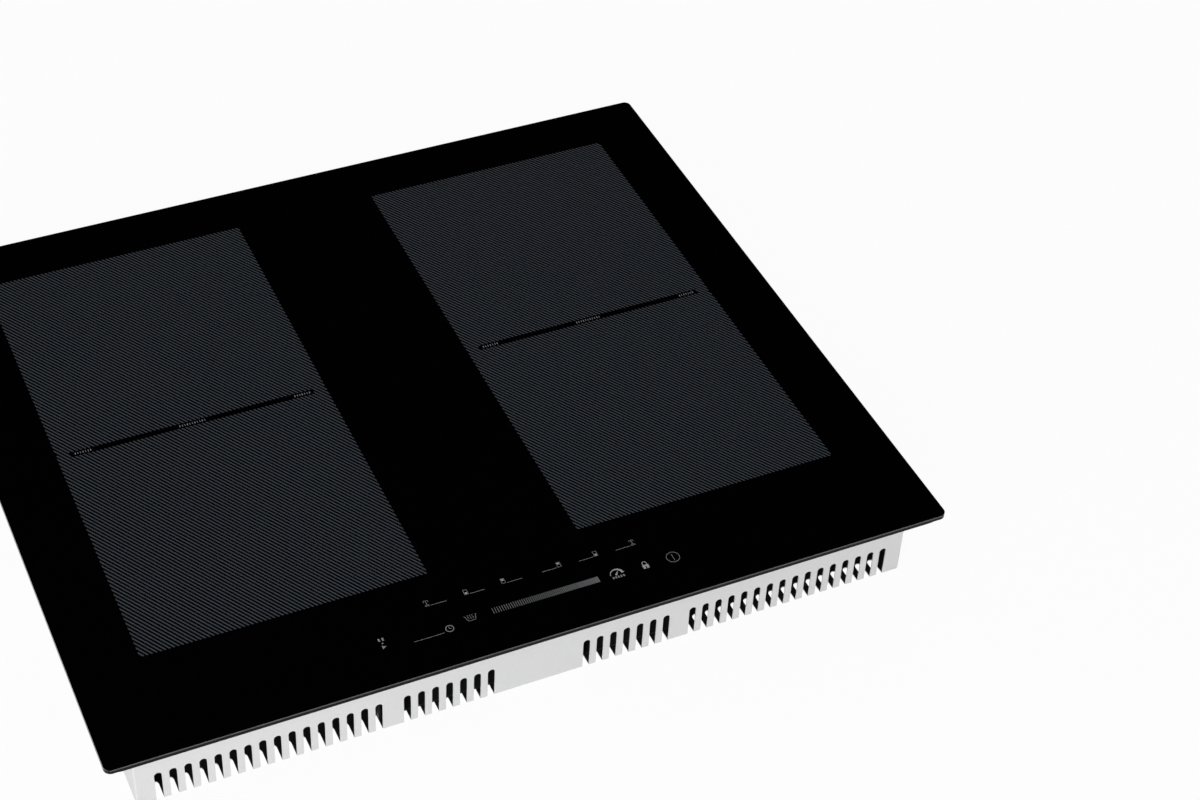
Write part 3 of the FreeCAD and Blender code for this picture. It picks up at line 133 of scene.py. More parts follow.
# The table: white paper that keeps a faint shadow, glows to the camera and in gloss, and is clear from
# below. It is a frame of four faces round the foot of the casing, so that no two faces lie in one plane.
TABLE_HALF = 8.0
OPENING_HALF = [0.2742, 0.2412]
GLOW_SHARE = 0.95
table_mesh = bpy.data.meshes.new("table")
table_signs = np.array([(-1, -1), (1, -1), (1, 1), (-1, 1)])
table_corners = np.vstack([table_signs * TABLE_HALF, table_signs * OPENING_HALF])
table_faces = [(k, (k + 1) % 4, (k + 1) % 4 + 4, k + 4) for k in range(4)]
table_mesh.from_pydata(np.insert(table_corners, 2, 0.0, axis=1).tolist(), [], table_faces)
table = bpy.data.objects.new("table", table_mesh)
scene.collection.objects.link(table)
paper = bpy.data.materials.new("table_paper")
paper_out = blank_tree(paper)
paper_ray = node(paper, "ShaderNodeLightPath").outputs
paper_side = node(paper, "ShaderNodeNewGeometry")
paper_matt = node(paper, "ShaderNodeBsdfDiffuse", {"Color": (0.86, 0.86, 0.86, 1)}).outputs[0]
paper_glow = node(paper, "ShaderNodeEmission", {"Color": WHITE, "Strength": 1.0})
paper_seen = mixed(paper, GLOW_SHARE, paper_matt, paper_glow.outputs[0])
paper_straight = reckon(paper, "MAXIMUM", paper_ray["Is Camera Ray"], paper_ray["Is Transmission Ray"])
paper_direct = reckon(paper, "MAXIMUM", paper_straight, paper_ray["Is Glossy Ray"])
paper_face = mixed(paper, paper_direct, paper_matt, paper_seen)
paper_clear = node(paper, "ShaderNodeBsdfTransparent")
paper_both = mixed(paper, paper_side.outputs["Backfacing"], paper_face, paper_clear.outputs[0])
paper.node_tree.links.new(paper_both, paper_out.inputs["Surface"])
table_mesh.materials.append(paper)

# ---- casing ---------------------------------------------------------------------------------------------
# One tray of 0.8 mm steel sheet, cut out and folded up on four sides, with a comb of vent slots cut down
# through its front fold. It is coated satin silver outside, and its inside is painted near-black as painted
# shade.

MM = 0.001  # the sizes of new pieces are in millimetres, as on a maker's drawing


def finish(name, colour, roughness, metallic=0.0, specular=0.5):
    """A material whose constants sit on the shader's own sockets."""
    material = bpy.data.materials.new(name)
    material.use_nodes = True
    shader = material.node_tree.nodes["Principled BSDF"]
    shader.inputs["Base Color"].default_value = (*colour, 1.0)
    shader.inputs["Roughness"].default_value = roughness
    shader.inputs["Metallic"].default_value = metallic
    shader.inputs["Specular IOR Level"].default_value = specular
    return material, shader


def wander(material, scale, stretch=(1, 1, 1), detail=4.0, fine_share=0.55, on_map=False, turn=0.0):
    """A noise with features of about 1/scale metres, drawn out where stretch is small. It fills space, or
    with on_map it lies on the piece's own map, turned by an angle in degrees."""
    place = node(material, "ShaderNodeTexCoord").outputs["UV" if on_map else "Object"]
    turned_by = (0, 0, math.radians(turn))
    mapped = node(material, "ShaderNodeMapping", {"Vector": place, "Rotation": turned_by, "Scale": stretch})
    noise = node(
        material,
        "ShaderNodeTexNoise",
        {"Vector": mapped.outputs["Vector"], "Scale": scale, "Detail": detail, "Roughness": fine_share},
    )
    return noise.outputs["Fac"]


def colour_by(material, shader, factor, low, high, start=0.35, end=0.65):
    """The surface colour runs from low to high as the factor goes from start to end."""
    ramp = node(material, "ShaderNodeValToRGB", {"Fac": factor})
    for stop, position, colour in zip(ramp.color_ramp.elements, (start, end), (low, high)):
        stop.position = position
        stop.color = (*colour, 1.0)
    material.node_tree.links.new(ramp.outputs["Color"], shader.inputs["Base Color"])
    return ramp.outputs["Color"]


def gloss_by(material, shader, factor, low, high, start=0.3, end=0.7):
    """The roughness runs from low to high as the factor goes from start to end."""
    span = {"Value": factor, "From Min": start, "From Max": end, "To Min": low, "To Max": high}
    roughness = node(material, "ShaderNodeMapRange", span).outputs["Result"]
    material.node_tree.links.new(roughness, shader.inputs["Roughness"])
    return roughness


def relief_by(material, shader, factor, height):
    """The surface rises by up to a height in millimetres as the factor goes from 0 to 1."""
    bump = node(material, "ShaderNodeBump", {"Height": factor, "Strength": 1.0, "Distance": height * MM})
    material.node_tree.links.new(bump.outputs["Normal"], shader.inputs["Normal"])


def where_between(material, half_width, half_depth, floor):
    """1 at points less than half_width and half_depth from the middle and above the floor, in metres."""
    place = node(material, "ShaderNodeTexCoord")
    axes = node(material, "ShaderNodeSeparateXYZ", {"Vector": place.outputs["Object"]}).outputs
    in_width = reckon(material, "LESS_THAN", reckon(material, "ABSOLUTE", axes["X"]), half_width)
    in_depth = reckon(material, "LESS_THAN", reckon(material, "ABSOLUTE", axes["Y"]), half_depth)
    above = reckon(material, "GREATER_THAN", axes["Z"], floor)
    return reckon(material, "MULTIPLY", reckon(material, "MULTIPLY", in_width, in_depth), above)


def second_colour(material, shader, first, second, where):
    """The surface colour is the first where the mask is 0 and the second where it is 1."""
    blend = node(material, "ShaderNodeMix", {0: where, 6: first, 7: (*second, 1.0)}, data_type="RGBA")
    material.node_tree.links.new(blend.outputs[2], shader.inputs["Base Color"])


def dress(material, *names):
    """Gives the carried-over pieces whose names start with these words a finish."""
    for name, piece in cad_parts.items():
        if name.startswith(names):
            for place in piece.material_slots:
                place.material = material


METAL_SHARE = 0.3
INSIDE_HALF = (0.27425, 0.24125)  # just inside the outer face of the walls
INSIDE_FLOOR = 0.00075
# The near-black of the tray's inside is painted shade: it stands in for the shade inside the closed casing.
PAINTED_SHADE_BLACK = (0.018, 0.018, 0.019)
MATT_EXTRA = 0.35
casing_silver, shader = finish("casing_silver", (0.71, 0.71, 0.71), 0.38, metallic=METAL_SHARE)
grain = wander(casing_silver, 1300.0, detail=2.0)
silver = colour_by(casing_silver, shader, grain, (0.695, 0.695, 0.697), (0.725, 0.725, 0.727))
cloud = wander(casing_silver, 7.0, stretch=(0.6, 1, 1), detail=2.0)
satin = gloss_by(casing_silver, shader, cloud, 0.36, 0.43)
relief_by(casing_silver, shader, grain, 0.003)
# Inside the walls and above the floor sheet the colour is painted shade, near-black, with no metal and more
# roughness.
painted_shade_inside = where_between(casing_silver, *INSIDE_HALF, INSIDE_FLOOR)
second_colour(casing_silver, shader, silver, PAINTED_SHADE_BLACK, painted_shade_inside)
bare = reckon(casing_silver, "SUBTRACT", 1.0, painted_shade_inside)
metal = reckon(casing_silver, "MULTIPLY", bare, METAL_SHARE)
casing_silver.node_tree.links.new(metal, shader.inputs["Metallic"])
matt = reckon(casing_silver, "MULTIPLY", painted_shade_inside, MATT_EXTRA)
casing_silver.node_tree.links.new(reckon(casing_silver, "ADD", satin, matt), shader.inputs["Roughness"])
dress(casing_silver, "base_tray")

# ---- mounting frame -------------------------------------------------------------------------------------
# A ring of folded angle in 1 mm galvanised steel. The glass is bonded to its flange, and its leg stands
# just inside the casing's walls and takes the screws.


def grained(name, colour, roughness, low, high, scale, gloss=None, relief=None, span=(0.35, 0.65), **more):
    """A finish that follows one noise: over a span of it the colour runs from low to high, and where they
    are given the roughness runs over gloss and the surface rises by relief, in millimetres. More goes to
    the finish, if it is metallic or specular, or else to the noise."""
    sheen = {key: more.pop(key) for key in ("metallic", "specular") if key in more}
    material, shader = finish(name, colour, roughness, **sheen)
    grain = wander(material, scale, **more)
    colour_by(material, shader, grain, low, high, *span)
    if gloss:
        gloss_by(material, shader, grain, *gloss)
    if relief:
        relief_by(material, shader, grain, relief)
    return material


zinc_steel = grained(
    "zinc_steel", (0.55, 0.56, 0.57), 0.42, (0.46, 0.47, 0.49), (0.62, 0.63, 0.64),
    scale=130.0, detail=5.0, fine_share=0.7, gloss=(0.34, 0.52), metallic=0.9,
)
dress(zinc_steel, "mounting_frame", "clip_plates")

# ---- posts and board carrier ----------------------------------------------------------------------------
# Eight posts of natural nylon stand on broad feet and hold the coil plates up. Between them lies a moulded
# deck of black plastic whose pegs keep the circuit boards clear of the metal.

nylon = grained(
    "nylon", (0.74, 0.72, 0.66), 0.46, (0.69, 0.67, 0.60), (0.79, 0.77, 0.71),
    scale=160.0, gloss=(0.40, 0.54), specular=0.4,
)
dress(nylon, "plate_posts")

deck_plastic = grained(
    "deck_plastic", (0.03, 0.03, 0.032), 0.5, (0.024, 0.024, 0.026), (0.037, 0.037, 0.040),
    scale=1100.0, detail=2.0, gloss=(0.44, 0.58), relief=0.03, specular=0.45,
)
dress(deck_plastic, "board_carrier", "control_tray")

# ---- power boards ---------------------------------------------------------------------------------------
# One glass-fibre board on each side drives the two coils above it. Power transistors in black epoxy stand
# against an extruded heat sink, film capacitors in a row along the outer edge, small parts in between.

BOARD_TOP = 9.6
SINK_MIDDLE = -10.0
TRANSISTOR_X = 144.5
TRANSISTOR_PITCH = 36.0
LEG_PITCH = 5.4
LEG_HEIGHT = 4.0
FILM_X = 207.0
FILM_PITCH = 44.0
TIN_PLACES = ((158.0, -8.0), (170.0, -8.0), (158.0, -108.0), (184.0, -112.0))
TIN_RADIUS = 5.0
TIN_TOP = 24.0
SPINDLE = 0.3  # a turned body's end rings keep this radius, so that they can be capped


def rings(points, loop=False):
    """A closed body from rings of points, shape (rings, points, 3): each point is joined to the next round
    its ring and to the same point of the next ring. The end rings are capped, or with loop the last ring
    meets the first. Its map runs along the rings in u and round them in v, in metres."""
    count, around, _ = points.shape
    index = np.arange(count * around).reshape(count, around)
    here, ahead = (index, np.roll(index, -1, 0)) if loop else (index[:-1], index[1:])
    sides = np.stack([here, np.roll(here, -1, 1), np.roll(ahead, -1, 1), ahead], axis=2).reshape(-1, 4)
    middle = points.mean(1)
    steps = np.linalg.norm(np.roll(middle, -1, 0) - middle, axis=1)
    girth = np.linalg.norm(np.roll(points[0], -1, 0) - points[0], axis=1)
    u = np.concatenate([[0], np.cumsum(steps)])[: len(here) + 1, None] * MM
    v = np.concatenate([[0], np.cumsum(girth)])[None, :] * MM
    u, v = np.broadcast_arrays(u, v)
    corners = [(slice(None, -1), slice(None, -1)), (slice(None, -1), slice(1, None))]
    corners += [(slice(1, None), slice(1, None)), (slice(1, None), slice(None, -1))]
    on_map = np.stack([np.stack([u[c], v[c]], axis=2) for c in corners], axis=2).reshape(-1, 2)
    faces = sides.tolist()
    if not loop:
        faces += [index[0][::-1].tolist(), index[-1].tolist()]
        on_map = np.vstack([on_map, np.zeros((2 * around, 2))])
    return points.reshape(-1, 3), faces, on_map


def make_piece(name, parts, material, body="casing", smooth=False):
    """One object from several closed bodies, given in millimetres, that rides on a body of the cooktop."""
    points, faces, maps, first = [], [], [], 0
    for corners, outlines, on_map in parts:
        points.append(np.asarray(corners, float) * MM)
        faces += [[first + k for k in outline] for outline in outlines]
        maps.append(on_map)
        first += len(corners)
    mesh = bpy.data.meshes.new(name)
    mesh.from_pydata(np.concatenate(points).tolist(), [], faces)
    mesh.uv_layers.new(name="along_and_round").data.foreach_set("uv", np.concatenate(maps).ravel())
    work = bmesh.new()
    work.from_mesh(mesh)
    bmesh.ops.recalc_face_normals(work, faces=work.faces)
    work.to_mesh(mesh)
    work.free()
    mesh.materials.append(material)
    mesh.polygons.foreach_set("use_smooth", [smooth] * len(mesh.polygons))
    piece = bpy.data.objects.new(name, mesh)
    scene.collection.objects.link(piece)
    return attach(piece, body)


def rounded_outline(width, depth, radius, steps=10):
    """Points of a rectangle with round corners, counter-clockwise: corner centre plus radius times
    (cos, sin), a quarter turn at each corner. Also gives the outward direction at each point."""
    quarter = np.arange(4)[:, None] * math.pi / 2 + np.linspace(0, math.pi / 2, steps + 1)[None, :]
    centre = np.array([[1, 1], [-1, 1], [-1, -1], [1, -1]]) * [width / 2 - radius, depth / 2 - radius]
    outward = np.stack([np.cos(quarter), np.sin(quarter)], axis=2)
    return (centre[:, None, :] + radius * outward).reshape(-1, 2), outward.reshape(-1, 2)


def moulded_block(x, y, z, width, depth, height, edge=0.5):
    """A block about (x, y) that stands at z, with round upright edges; its top ring is pulled in by the
    edge, over a quarter circle."""
    outline, outward = rounded_outline(width, depth, 2 * edge, steps=3)
    turn = np.linspace(0, math.pi / 2, 4)
    levels = np.concatenate([[z], z + height - edge * (1 - np.sin(turn))])
    pulls = np.concatenate([[0], edge * (1 - np.cos(turn))])
    layers = [
        np.column_stack([outline - pull * outward + [x, y], np.full(len(outline), level)])
        for level, pull in zip(levels, pulls)
    ]
    return rings(np.array(layers))


def turned(profile, x, y, steps=24):
    """A turned body about the upright line at (x, y): each (radius, level) of the profile becomes a ring of
    radius times (cos, sin) at its level."""
    angle = np.linspace(0, 2 * math.pi, steps, endpoint=False)
    radius, level = np.array(profile, float).T
    ring = np.stack([np.cos(angle), np.sin(angle)], axis=1)[None, :, :] * radius[:, None, None] + [x, y]
    height = np.broadcast_to(level[:, None, None], (*ring.shape[:2], 1))
    return rings(np.concatenate([ring, height], axis=2))


solder_mask, shader = finish("solder_mask", (0.02, 0.12, 0.05), 0.3)
place = node(solder_mask, "ShaderNodeTexCoord")
cells = node(
    solder_mask,
    "ShaderNodeTexVoronoi",
    {"Vector": place.outputs["Object"], "Scale": 190.0, "Randomness": 0.55},
    feature="DISTANCE_TO_EDGE",
)
tracks = cells.outputs["Distance"]
colour_by(solder_mask, shader, tracks, (0.045, 0.21, 0.09), (0.012, 0.085, 0.035), 0.05, 0.09)
gloss_by(solder_mask, shader, wander(solder_mask, 260.0), 0.24, 0.38)
relief_by(solder_mask, shader, tracks, -0.05)
dress(solder_mask, "power_board", "filter_board")

sink_aluminium = grained(
    "sink_aluminium", (0.72, 0.73, 0.74), 0.34, (0.66, 0.67, 0.68), (0.78, 0.79, 0.80),
    scale=500.0, stretch=(1, 0.05, 1), detail=3.0, gloss=(0.28, 0.42), metallic=1.0,
)
dress(sink_aluminium, "heat_sink")

epoxy = grained(
    "transistor_epoxy", (0.018, 0.018, 0.019), 0.42, (0.013, 0.013, 0.014), (0.025, 0.025, 0.026),
    scale=1600.0, detail=2.0, gloss=(0.34, 0.52),
)
tinned = grained(
    "tinned_legs", (0.62, 0.62, 0.60), 0.33, (0.54, 0.54, 0.52), (0.70, 0.70, 0.68),
    scale=700.0, gloss=(0.26, 0.42), metallic=1.0,
)
film_case = grained(
    "capacitor_film", (0.45, 0.30, 0.05), 0.32, (0.40, 0.26, 0.04), (0.50, 0.34, 0.07),
    scale=400.0, gloss=(0.26, 0.4),
)

tin_profile = [(SPINDLE, BOARD_TOP), (TIN_RADIUS, BOARD_TOP), (TIN_RADIUS, 11.0), (4.6, 11.6)]
tin_profile += [(TIN_RADIUS, 12.2), (TIN_RADIUS, 23.4), (4.5, TIN_TOP), (SPINDLE, TIN_TOP)]
for side_name, side in (("left", -1), ("right", 1)):
    cases, legs = [], []
    for k in range(4):
        x, y = side * TRANSISTOR_X, SINK_MIDDLE + TRANSISTOR_PITCH * (k - 1.5)
        cases.append(moulded_block(x, y, BOARD_TOP + LEG_HEIGHT, 4.8, 15.8, 17.0, 0.4))
        for j in (-1, 0, 1):
            legs.append(moulded_block(x, y + LEG_PITCH * j, BOARD_TOP, 0.7, 1.5, LEG_HEIGHT + 0.2, 0.15))
    transistors = make_piece(f"transistor_cases_{side_name}", cases, epoxy)
    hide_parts(f"power_transistors_{side_name}")
    make_piece(f"transistor_legs_{side_name}", legs, tinned)
    films = [
        moulded_block(side * FILM_X, -15.0 + FILM_PITCH * k, BOARD_TOP, 18.0, 32.0, 26.0, 0.9)
        for k in (-1, 0, 1)
    ]
    capacitors = make_piece(f"film_capacitor_cases_{side_name}", films, film_case)
    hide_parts(f"film_capacitors_{side_name}")
    # Three controllers, rows of chip resistors and two small transformers.
    small = [moulded_block(side * 172.0, y, BOARD_TOP, 9.0, 14.0, 2.2, 0.3) for y in (-96.0, -62.0, 44.0)]
    small += [
        moulded_block(side * (156.0 + 5.5 * i), y, BOARD_TOP, 1.9, 3.3, 0.8, 0.1)
        for i in range(7)
        for y in (-78.0, -42.0, -34.0, 62.0)
    ]
    small += [moulded_block(side * 184.0, y, BOARD_TOP, 7.0, 20.0, 9.0, 0.4) for y in (-16.0, 76.0)]
    make_piece(f"board_parts_{side_name}", small, epoxy)
    tins = [turned(tin_profile, side * x, y) for x, y in TIN_PLACES]
    make_piece(f"smoothing_capacitors_{side_name}", tins, tinned)

# ---- blowers --------------------------------------------------------------------------------------------
# Two radial blowers draw air in through the casing's base and push it through the heat sinks. Each has a
# shell and a cover of black plastic and a grey rotor that turns on a steel shaft in the cover's boss.

fan_black = grained(
    "fan_black", (0.022, 0.022, 0.024), 0.44, (0.017, 0.017, 0.019), (0.028, 0.028, 0.031),
    scale=900.0, detail=2.0, gloss=(0.38, 0.52), relief=0.02,
)
dress(fan_black, "fan_housing", "fan_cover")

rotor_grey = grained(
    "rotor_grey", (0.23, 0.24, 0.25), 0.4, (0.20, 0.21, 0.22), (0.27, 0.28, 0.29),
    scale=300.0, gloss=(0.34, 0.48),
)
dress(rotor_grey, "fan_rotor")

# ---- mains filter ---------------------------------------------------------------------------------------
# A board between the power boards with a choke, whose copper is wound on a bobbin through a ferrite core,
# and two suppressor capacitors in yellow cases.

ferrite = grained(
    "ferrite", (0.06, 0.06, 0.065), 0.6, (0.045, 0.045, 0.05), (0.085, 0.085, 0.09),
    scale=1400.0, detail=3.0, relief=0.05,
)

enamelled_copper = grained(
    "enamelled_copper", (0.42, 0.15, 0.05), 0.3, (0.28, 0.09, 0.03), (0.52, 0.20, 0.07),
    scale=900.0, stretch=(1, 0.06, 1), detail=1.0, on_map=True, relief=0.2, metallic=0.8,
)

CHOKE_X = -19.0
CHOKE_Y = 57.0
core_body = moulded_block(CHOKE_X, CHOKE_Y, BOARD_TOP, 36.0, 34.0, 30.0, 0.8)
core = make_piece("choke_core", [core_body], ferrite)
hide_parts("filter_choke")
turns = [
    moulded_block(CHOKE_X + 20.0 * end, CHOKE_Y, BOARD_TOP + 2.0, 4.0, 18.0, 22.0, 0.95) for end in (-1, 1)
]
make_piece("choke_turns", turns, enamelled_copper)
suppressors = [moulded_block(24.0, 37.5 + 22.0 * k, BOARD_TOP, 30.0, 15.0, 24.0, 0.9) for k in (0, 1)]
filters = make_piece("suppressor_cases", suppressors, film_case)
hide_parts("filter_capacitors")

# ---- mains terminal -------------------------------------------------------------------------------------
# A box of black plastic behind a hinged cover in the back wall. The mains wires come up through a collar in
# its floor, under a saddle, into a white terminal block with brass screws.

box_plastic = grained(
    "box_plastic", (0.035, 0.035, 0.038), 0.46, (0.029, 0.029, 0.032), (0.042, 0.042, 0.045),
    scale=1500.0, detail=2.0, gloss=(0.40, 0.56), relief=0.04, specular=0.45,
)
dress(box_plastic, "terminal_box", "terminal_cover", "cable_clamp")

block_white = grained(
    "block_white", (0.72, 0.72, 0.70), 0.38, (0.67, 0.67, 0.64), (0.77, 0.77, 0.75),
    scale=220.0, gloss=(0.32, 0.46),
)
dress(block_white, "terminal_block")

brass = grained(
    "brass", (0.62, 0.45, 0.18), 0.32, (0.50, 0.35, 0.13), (0.70, 0.52, 0.22),
    scale=600.0, gloss=(0.25, 0.45), metallic=1.0,
)
BLOCK_X = 17.0
POLE_PITCH = 9.6
POLE_Y = 207.2
head_profile = [(0.2, 18.85), (2.4, 18.85), (2.4, 20.4), (2.1, 20.9), (0.2, 21.1)]
heads = [turned(head_profile, BLOCK_X + POLE_PITCH * k, POLE_Y, steps=20) for k in (-2, -1, 0, 1, 2)]
make_piece("terminal_screws", heads, brass)

# ---- coil plates and ferrites ---------------------------------------------------------------------------
# A folded aluminium channel carries two coils on each side. Bars of pressed ferrite lie on it like spokes
# under each coil and lead the field up to the pan.

plate_aluminium = grained(
    "plate_aluminium", (0.70, 0.71, 0.72), 0.4, (0.64, 0.65, 0.66), (0.75, 0.76, 0.77),
    scale=420.0, stretch=(0.06, 1, 1), detail=3.0, gloss=(0.33, 0.47), metallic=1.0,
)
dress(plate_aluminium, "coil_plate")
dress(ferrite, "ferrite_bars")

# ---- coils ----------------------------------------------------------------------------------------------
# Litz wire wound flat in nine turns from the outside in, on a moulded carrier. It is a rope of fine copper
# strands, so its side is rounded and its strands run slantwise. A sheet of mica lies over both coils.

COIL_X = 151.5
COIL_Y = 18.75
COIL_STEP = 98.625
COIL_HALF_WIDTH = 90.0
COIL_HALF_DEPTH = 91.125
COIL_CUT = 45.0
TURNS = 9
TURN_PITCH = 6.6
WINDING_MIDDLE = 56.9
LEAD_BEND = 2.6


def winding_corners(turns, inset):
    """Corners of a flat eight-sided spiral: corner i lies inset plus i eighths of the pitch inside the
    coil's outside, and the corner's cut shrinks so that all sides stay parallel."""
    index = np.arange(8 * turns + 1)
    depth = TURN_PITCH * index / 8 + inset
    cut = COIL_CUT - (2 - math.sqrt(2)) * depth
    signs = np.array([(1, 1), (1, 1), (-1, 1), (-1, 1), (-1, -1), (-1, -1), (1, -1), (1, -1)])[index % 8]
    on_side = np.isin(index % 4, (0, 3))
    x = COIL_HALF_WIDTH - depth - np.where(on_side, 0, cut)
    y = COIL_HALF_DEPTH - depth - np.where(on_side, cut, 0)
    return np.column_stack([signs[:, 0] * x, signs[:, 1] * y, np.zeros(len(index))])


def eased(corners, reach, steps=5):
    """A path through corners, each rounded by the curve (1-s)^2 a + 2s(1-s) corner + s^2 b, where a and b
    lie a reach before and after it."""
    into = corners[1:-1] - corners[:-2]
    out = corners[2:] - corners[1:-1]
    into /= np.linalg.norm(into, axis=1)[:, None]
    out /= np.linalg.norm(out, axis=1)[:, None]
    s = np.linspace(0, 1, steps)[None, :, None]
    corner = corners[1:-1, None, :]
    curve = (1 - s) ** 2 * (corner - reach * into[:, None]) + 2 * s * (1 - s) * corner
    curve = curve + s**2 * (corner + reach * out[:, None])
    return np.vstack([corners[:1], curve.reshape(-1, 3), corners[-1:]])


def carried(profile, path, up):
    """A profile carried along a flat path: each ring is the path's point, plus the profile's first part
    along up, plus its second part across the path, lengthened at a bend by one over the cosine of half it."""
    step = np.diff(path, axis=0)
    step /= np.linalg.norm(step, axis=1)[:, None]
    after = np.vstack([step, step[-1:]])
    way = np.vstack([step[:1], step]) + after
    way /= np.linalg.norm(way, axis=1)[:, None]
    across = np.cross(way, up) / (way * after).sum(1)[:, None]
    lift = profile[None, :, 0:1] * np.array(up, float)
    return rings(path[:, None, :] + lift + profile[None, :, 1:2] * across[:, None, :])


def soft_rectangle(height, width, points, power=0.5):
    """A rectangle with very round corners: half its sides times cos and sin, each raised to a power."""
    angle = np.linspace(0, 2 * math.pi, points, endpoint=False) + math.pi / points
    around = np.stack([np.cos(angle), np.sin(angle)], axis=1)
    return np.sign(around) * np.abs(around) ** power * [height / 2, width / 2]


litz = grained(
    "litz_copper", (0.60, 0.27, 0.11), 0.36, (0.34, 0.13, 0.05), (0.74, 0.36, 0.16),
    scale=1500.0, stretch=(0.10, 1, 1), detail=1.0, on_map=True, turn=24.0, span=(0.38, 0.60),
    gloss=(0.28, 0.46), relief=0.35, metallic=0.9,
)

carrier_plastic = grained(
    "carrier_plastic", (0.62, 0.60, 0.55), 0.5, (0.56, 0.54, 0.49), (0.68, 0.66, 0.61),
    scale=700.0, stretch=(1, 0.4, 1), detail=3.0, relief=0.03, specular=0.4,
)
dress(carrier_plastic, "coil_carrier")

mica = grained(
    "mica", (0.62, 0.56, 0.45), 0.35, (0.52, 0.47, 0.37), (0.72, 0.66, 0.54),
    scale=350.0, stretch=(1, 1, 0.2), detail=4.0, gloss=(0.25, 0.5),
)
dress(mica, "mica_sheet")

sensor_cup = grained(
    "sensor_silicone", (0.55, 0.10, 0.06), 0.5, (0.48, 0.08, 0.05), (0.60, 0.13, 0.08),
    scale=500.0, gloss=(0.44, 0.58), specular=0.4,
)

sleeve = grained(
    "lead_sleeve", (0.66, 0.66, 0.62), 0.62, (0.50, 0.50, 0.46), (0.76, 0.76, 0.72),
    scale=1700.0, stretch=(0.35, 1, 1), detail=1.0, on_map=True, turn=38.0, relief=0.15, specular=0.3,
)

strip_profile = soft_rectangle(3.9, 5.5, 16)
lead_profile = soft_rectangle(3.0, 3.0, 14, power=1.0)
cup = [(SPINDLE, 47.9), (7.6, 47.9), (8.0, 48.3), (8.0, 50.3), (7.5, 50.9)]
cup += [(5.4, 50.9), (5.0, 51.3), (5.0, 58.9), (4.5, 59.5), (SPINDLE, 59.5)]
# Each lead's distance from the middle, its highest level, and how far towards the coil it ends.
lead_routes = ((163.5, 50.4, 70.625), (173.5, WINDING_MIDDLE, 7.5))
lead_bodies = []
for side_name, side in (("left", -1), ("right", 1)):
    for row_name, row in (("rear", 1), ("front", -1)):
        coil = np.array([side * COIL_X, COIL_Y + row * COIL_STEP, WINDING_MIDDLE])
        wound = carried(strip_profile, coil + eased(winding_corners(TURNS, 2.8), 4.0), (0, 0, 1))
        winding = make_piece(f"litz_winding_{row_name}_{side_name}", [wound], litz, smooth=True)
        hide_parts(f"coil_winding_{row_name}_{side_name}")
        button = turned(cup, coil[0], coil[1])
        sensor = make_piece(f"sensor_cup_{row_name}_{side_name}", [button], sensor_cup)
        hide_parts(f"temperature_sensor_{row_name}_{side_name}")
        for out, level, end in lead_routes:
            x, near, far = side * out, COIL_Y + row * 3.2, COIL_Y + row * end
            route = np.array([(x, near, BOARD_TOP), (x, near, level), (x, far, level)])
            lead_bodies.append(carried(lead_profile, eased(route, LEAD_BEND, 7), (1, 0, 0)))
leads = make_piece("lead_sleeves", lead_bodies, sleeve, smooth=True)
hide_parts("coil_leads")

# ---- touch control --------------------------------------------------------------------------------------
# A board in a plastic tray under the front of the glass. Springy pads of conductive foam carry each key to
# the glass, small displays shine through it, and a flat cable leads back to the mains filter.

black_mask = grained(
    "black_mask", (0.012, 0.014, 0.016), 0.34, (0.009, 0.011, 0.013), (0.018, 0.021, 0.024),
    scale=800.0, detail=2.0, gloss=(0.28, 0.42),
)
dress(black_mask, "touch_board")

pad_graphite = grained(
    "pad_graphite", (0.05, 0.05, 0.052), 0.8, (0.032, 0.032, 0.034), (0.075, 0.075, 0.078),
    scale=2200.0, detail=2.0, relief=0.12, specular=0.25,
)
dress(pad_graphite, "touch_pads")

display_white = grained(
    "display_white", (0.80, 0.80, 0.79), 0.42, (0.76, 0.76, 0.75), (0.84, 0.84, 0.83),
    scale=300.0, gloss=(0.36, 0.5),
)
dress(display_white, "display_modules")

ribbon_grey = grained(
    "ribbon_grey", (0.42, 0.43, 0.45), 0.45, (0.37, 0.38, 0.40), (0.46, 0.47, 0.49),
    scale=600.0, stretch=(0.2, 1, 1), on_map=True, gloss=(0.38, 0.52),
)

WIRE_PITCH = 1.25
RIBBON_HALF = 10.0
RIBBON_BEND = 1.6
ribbon_span = np.linspace(-RIBBON_HALF, RIBBON_HALF, 97)
swell = 0.28 + 0.12 * np.abs(np.cos(math.pi * ribbon_span / WIRE_PITCH))
upper_side, under_side = np.column_stack([ribbon_span, swell]), np.column_stack([ribbon_span, -swell])
ribbon_profile = np.vstack([upper_side, under_side[::-1]])
ribbon_route = [(-197.5, 54.0), (-190.1, 54.0), (-190.1, 2.7), (-13.4, 2.7), (-13.4, 10.0), (0.0, 10.0)]
ribbon_stops = np.array([(0.0, y, z) for y, z in ribbon_route])
ribbon_body = carried(ribbon_profile, eased(ribbon_stops, RIBBON_BEND, 6), (1, 0, 0))
ribbon = make_piece("flat_cable", [ribbon_body], ribbon_grey, smooth=True)
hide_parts("control_ribbon")

# ---- adhesive and seal ----------------------------------------------------------------------------------
# A bead of black silicone bonds the glass to the frame. A strip of closed-cell foam is stuck under the rim
# of the glass and seals it to the worktop.


def strip_ring(width, depth, corner, strip_width, low, high, bulge):
    """A strip that follows a rounded rectangle and lies inside it: a soft rectangle at each point of the
    outline, across its outward direction and upright, joined into a loop."""
    outline, outward = rounded_outline(width - strip_width, depth - strip_width, corner, steps=6)
    profile = soft_rectangle(high - low, strip_width, 16, bulge)
    across = outward[:, None, :] * profile[None, :, 1:2]
    flat = outline[:, None, :] + across
    level = np.broadcast_to((low + high) / 2 + profile[None, :, 0:1], (len(outline), len(profile), 1))
    return rings(np.concatenate([flat, level], axis=2), loop=True)


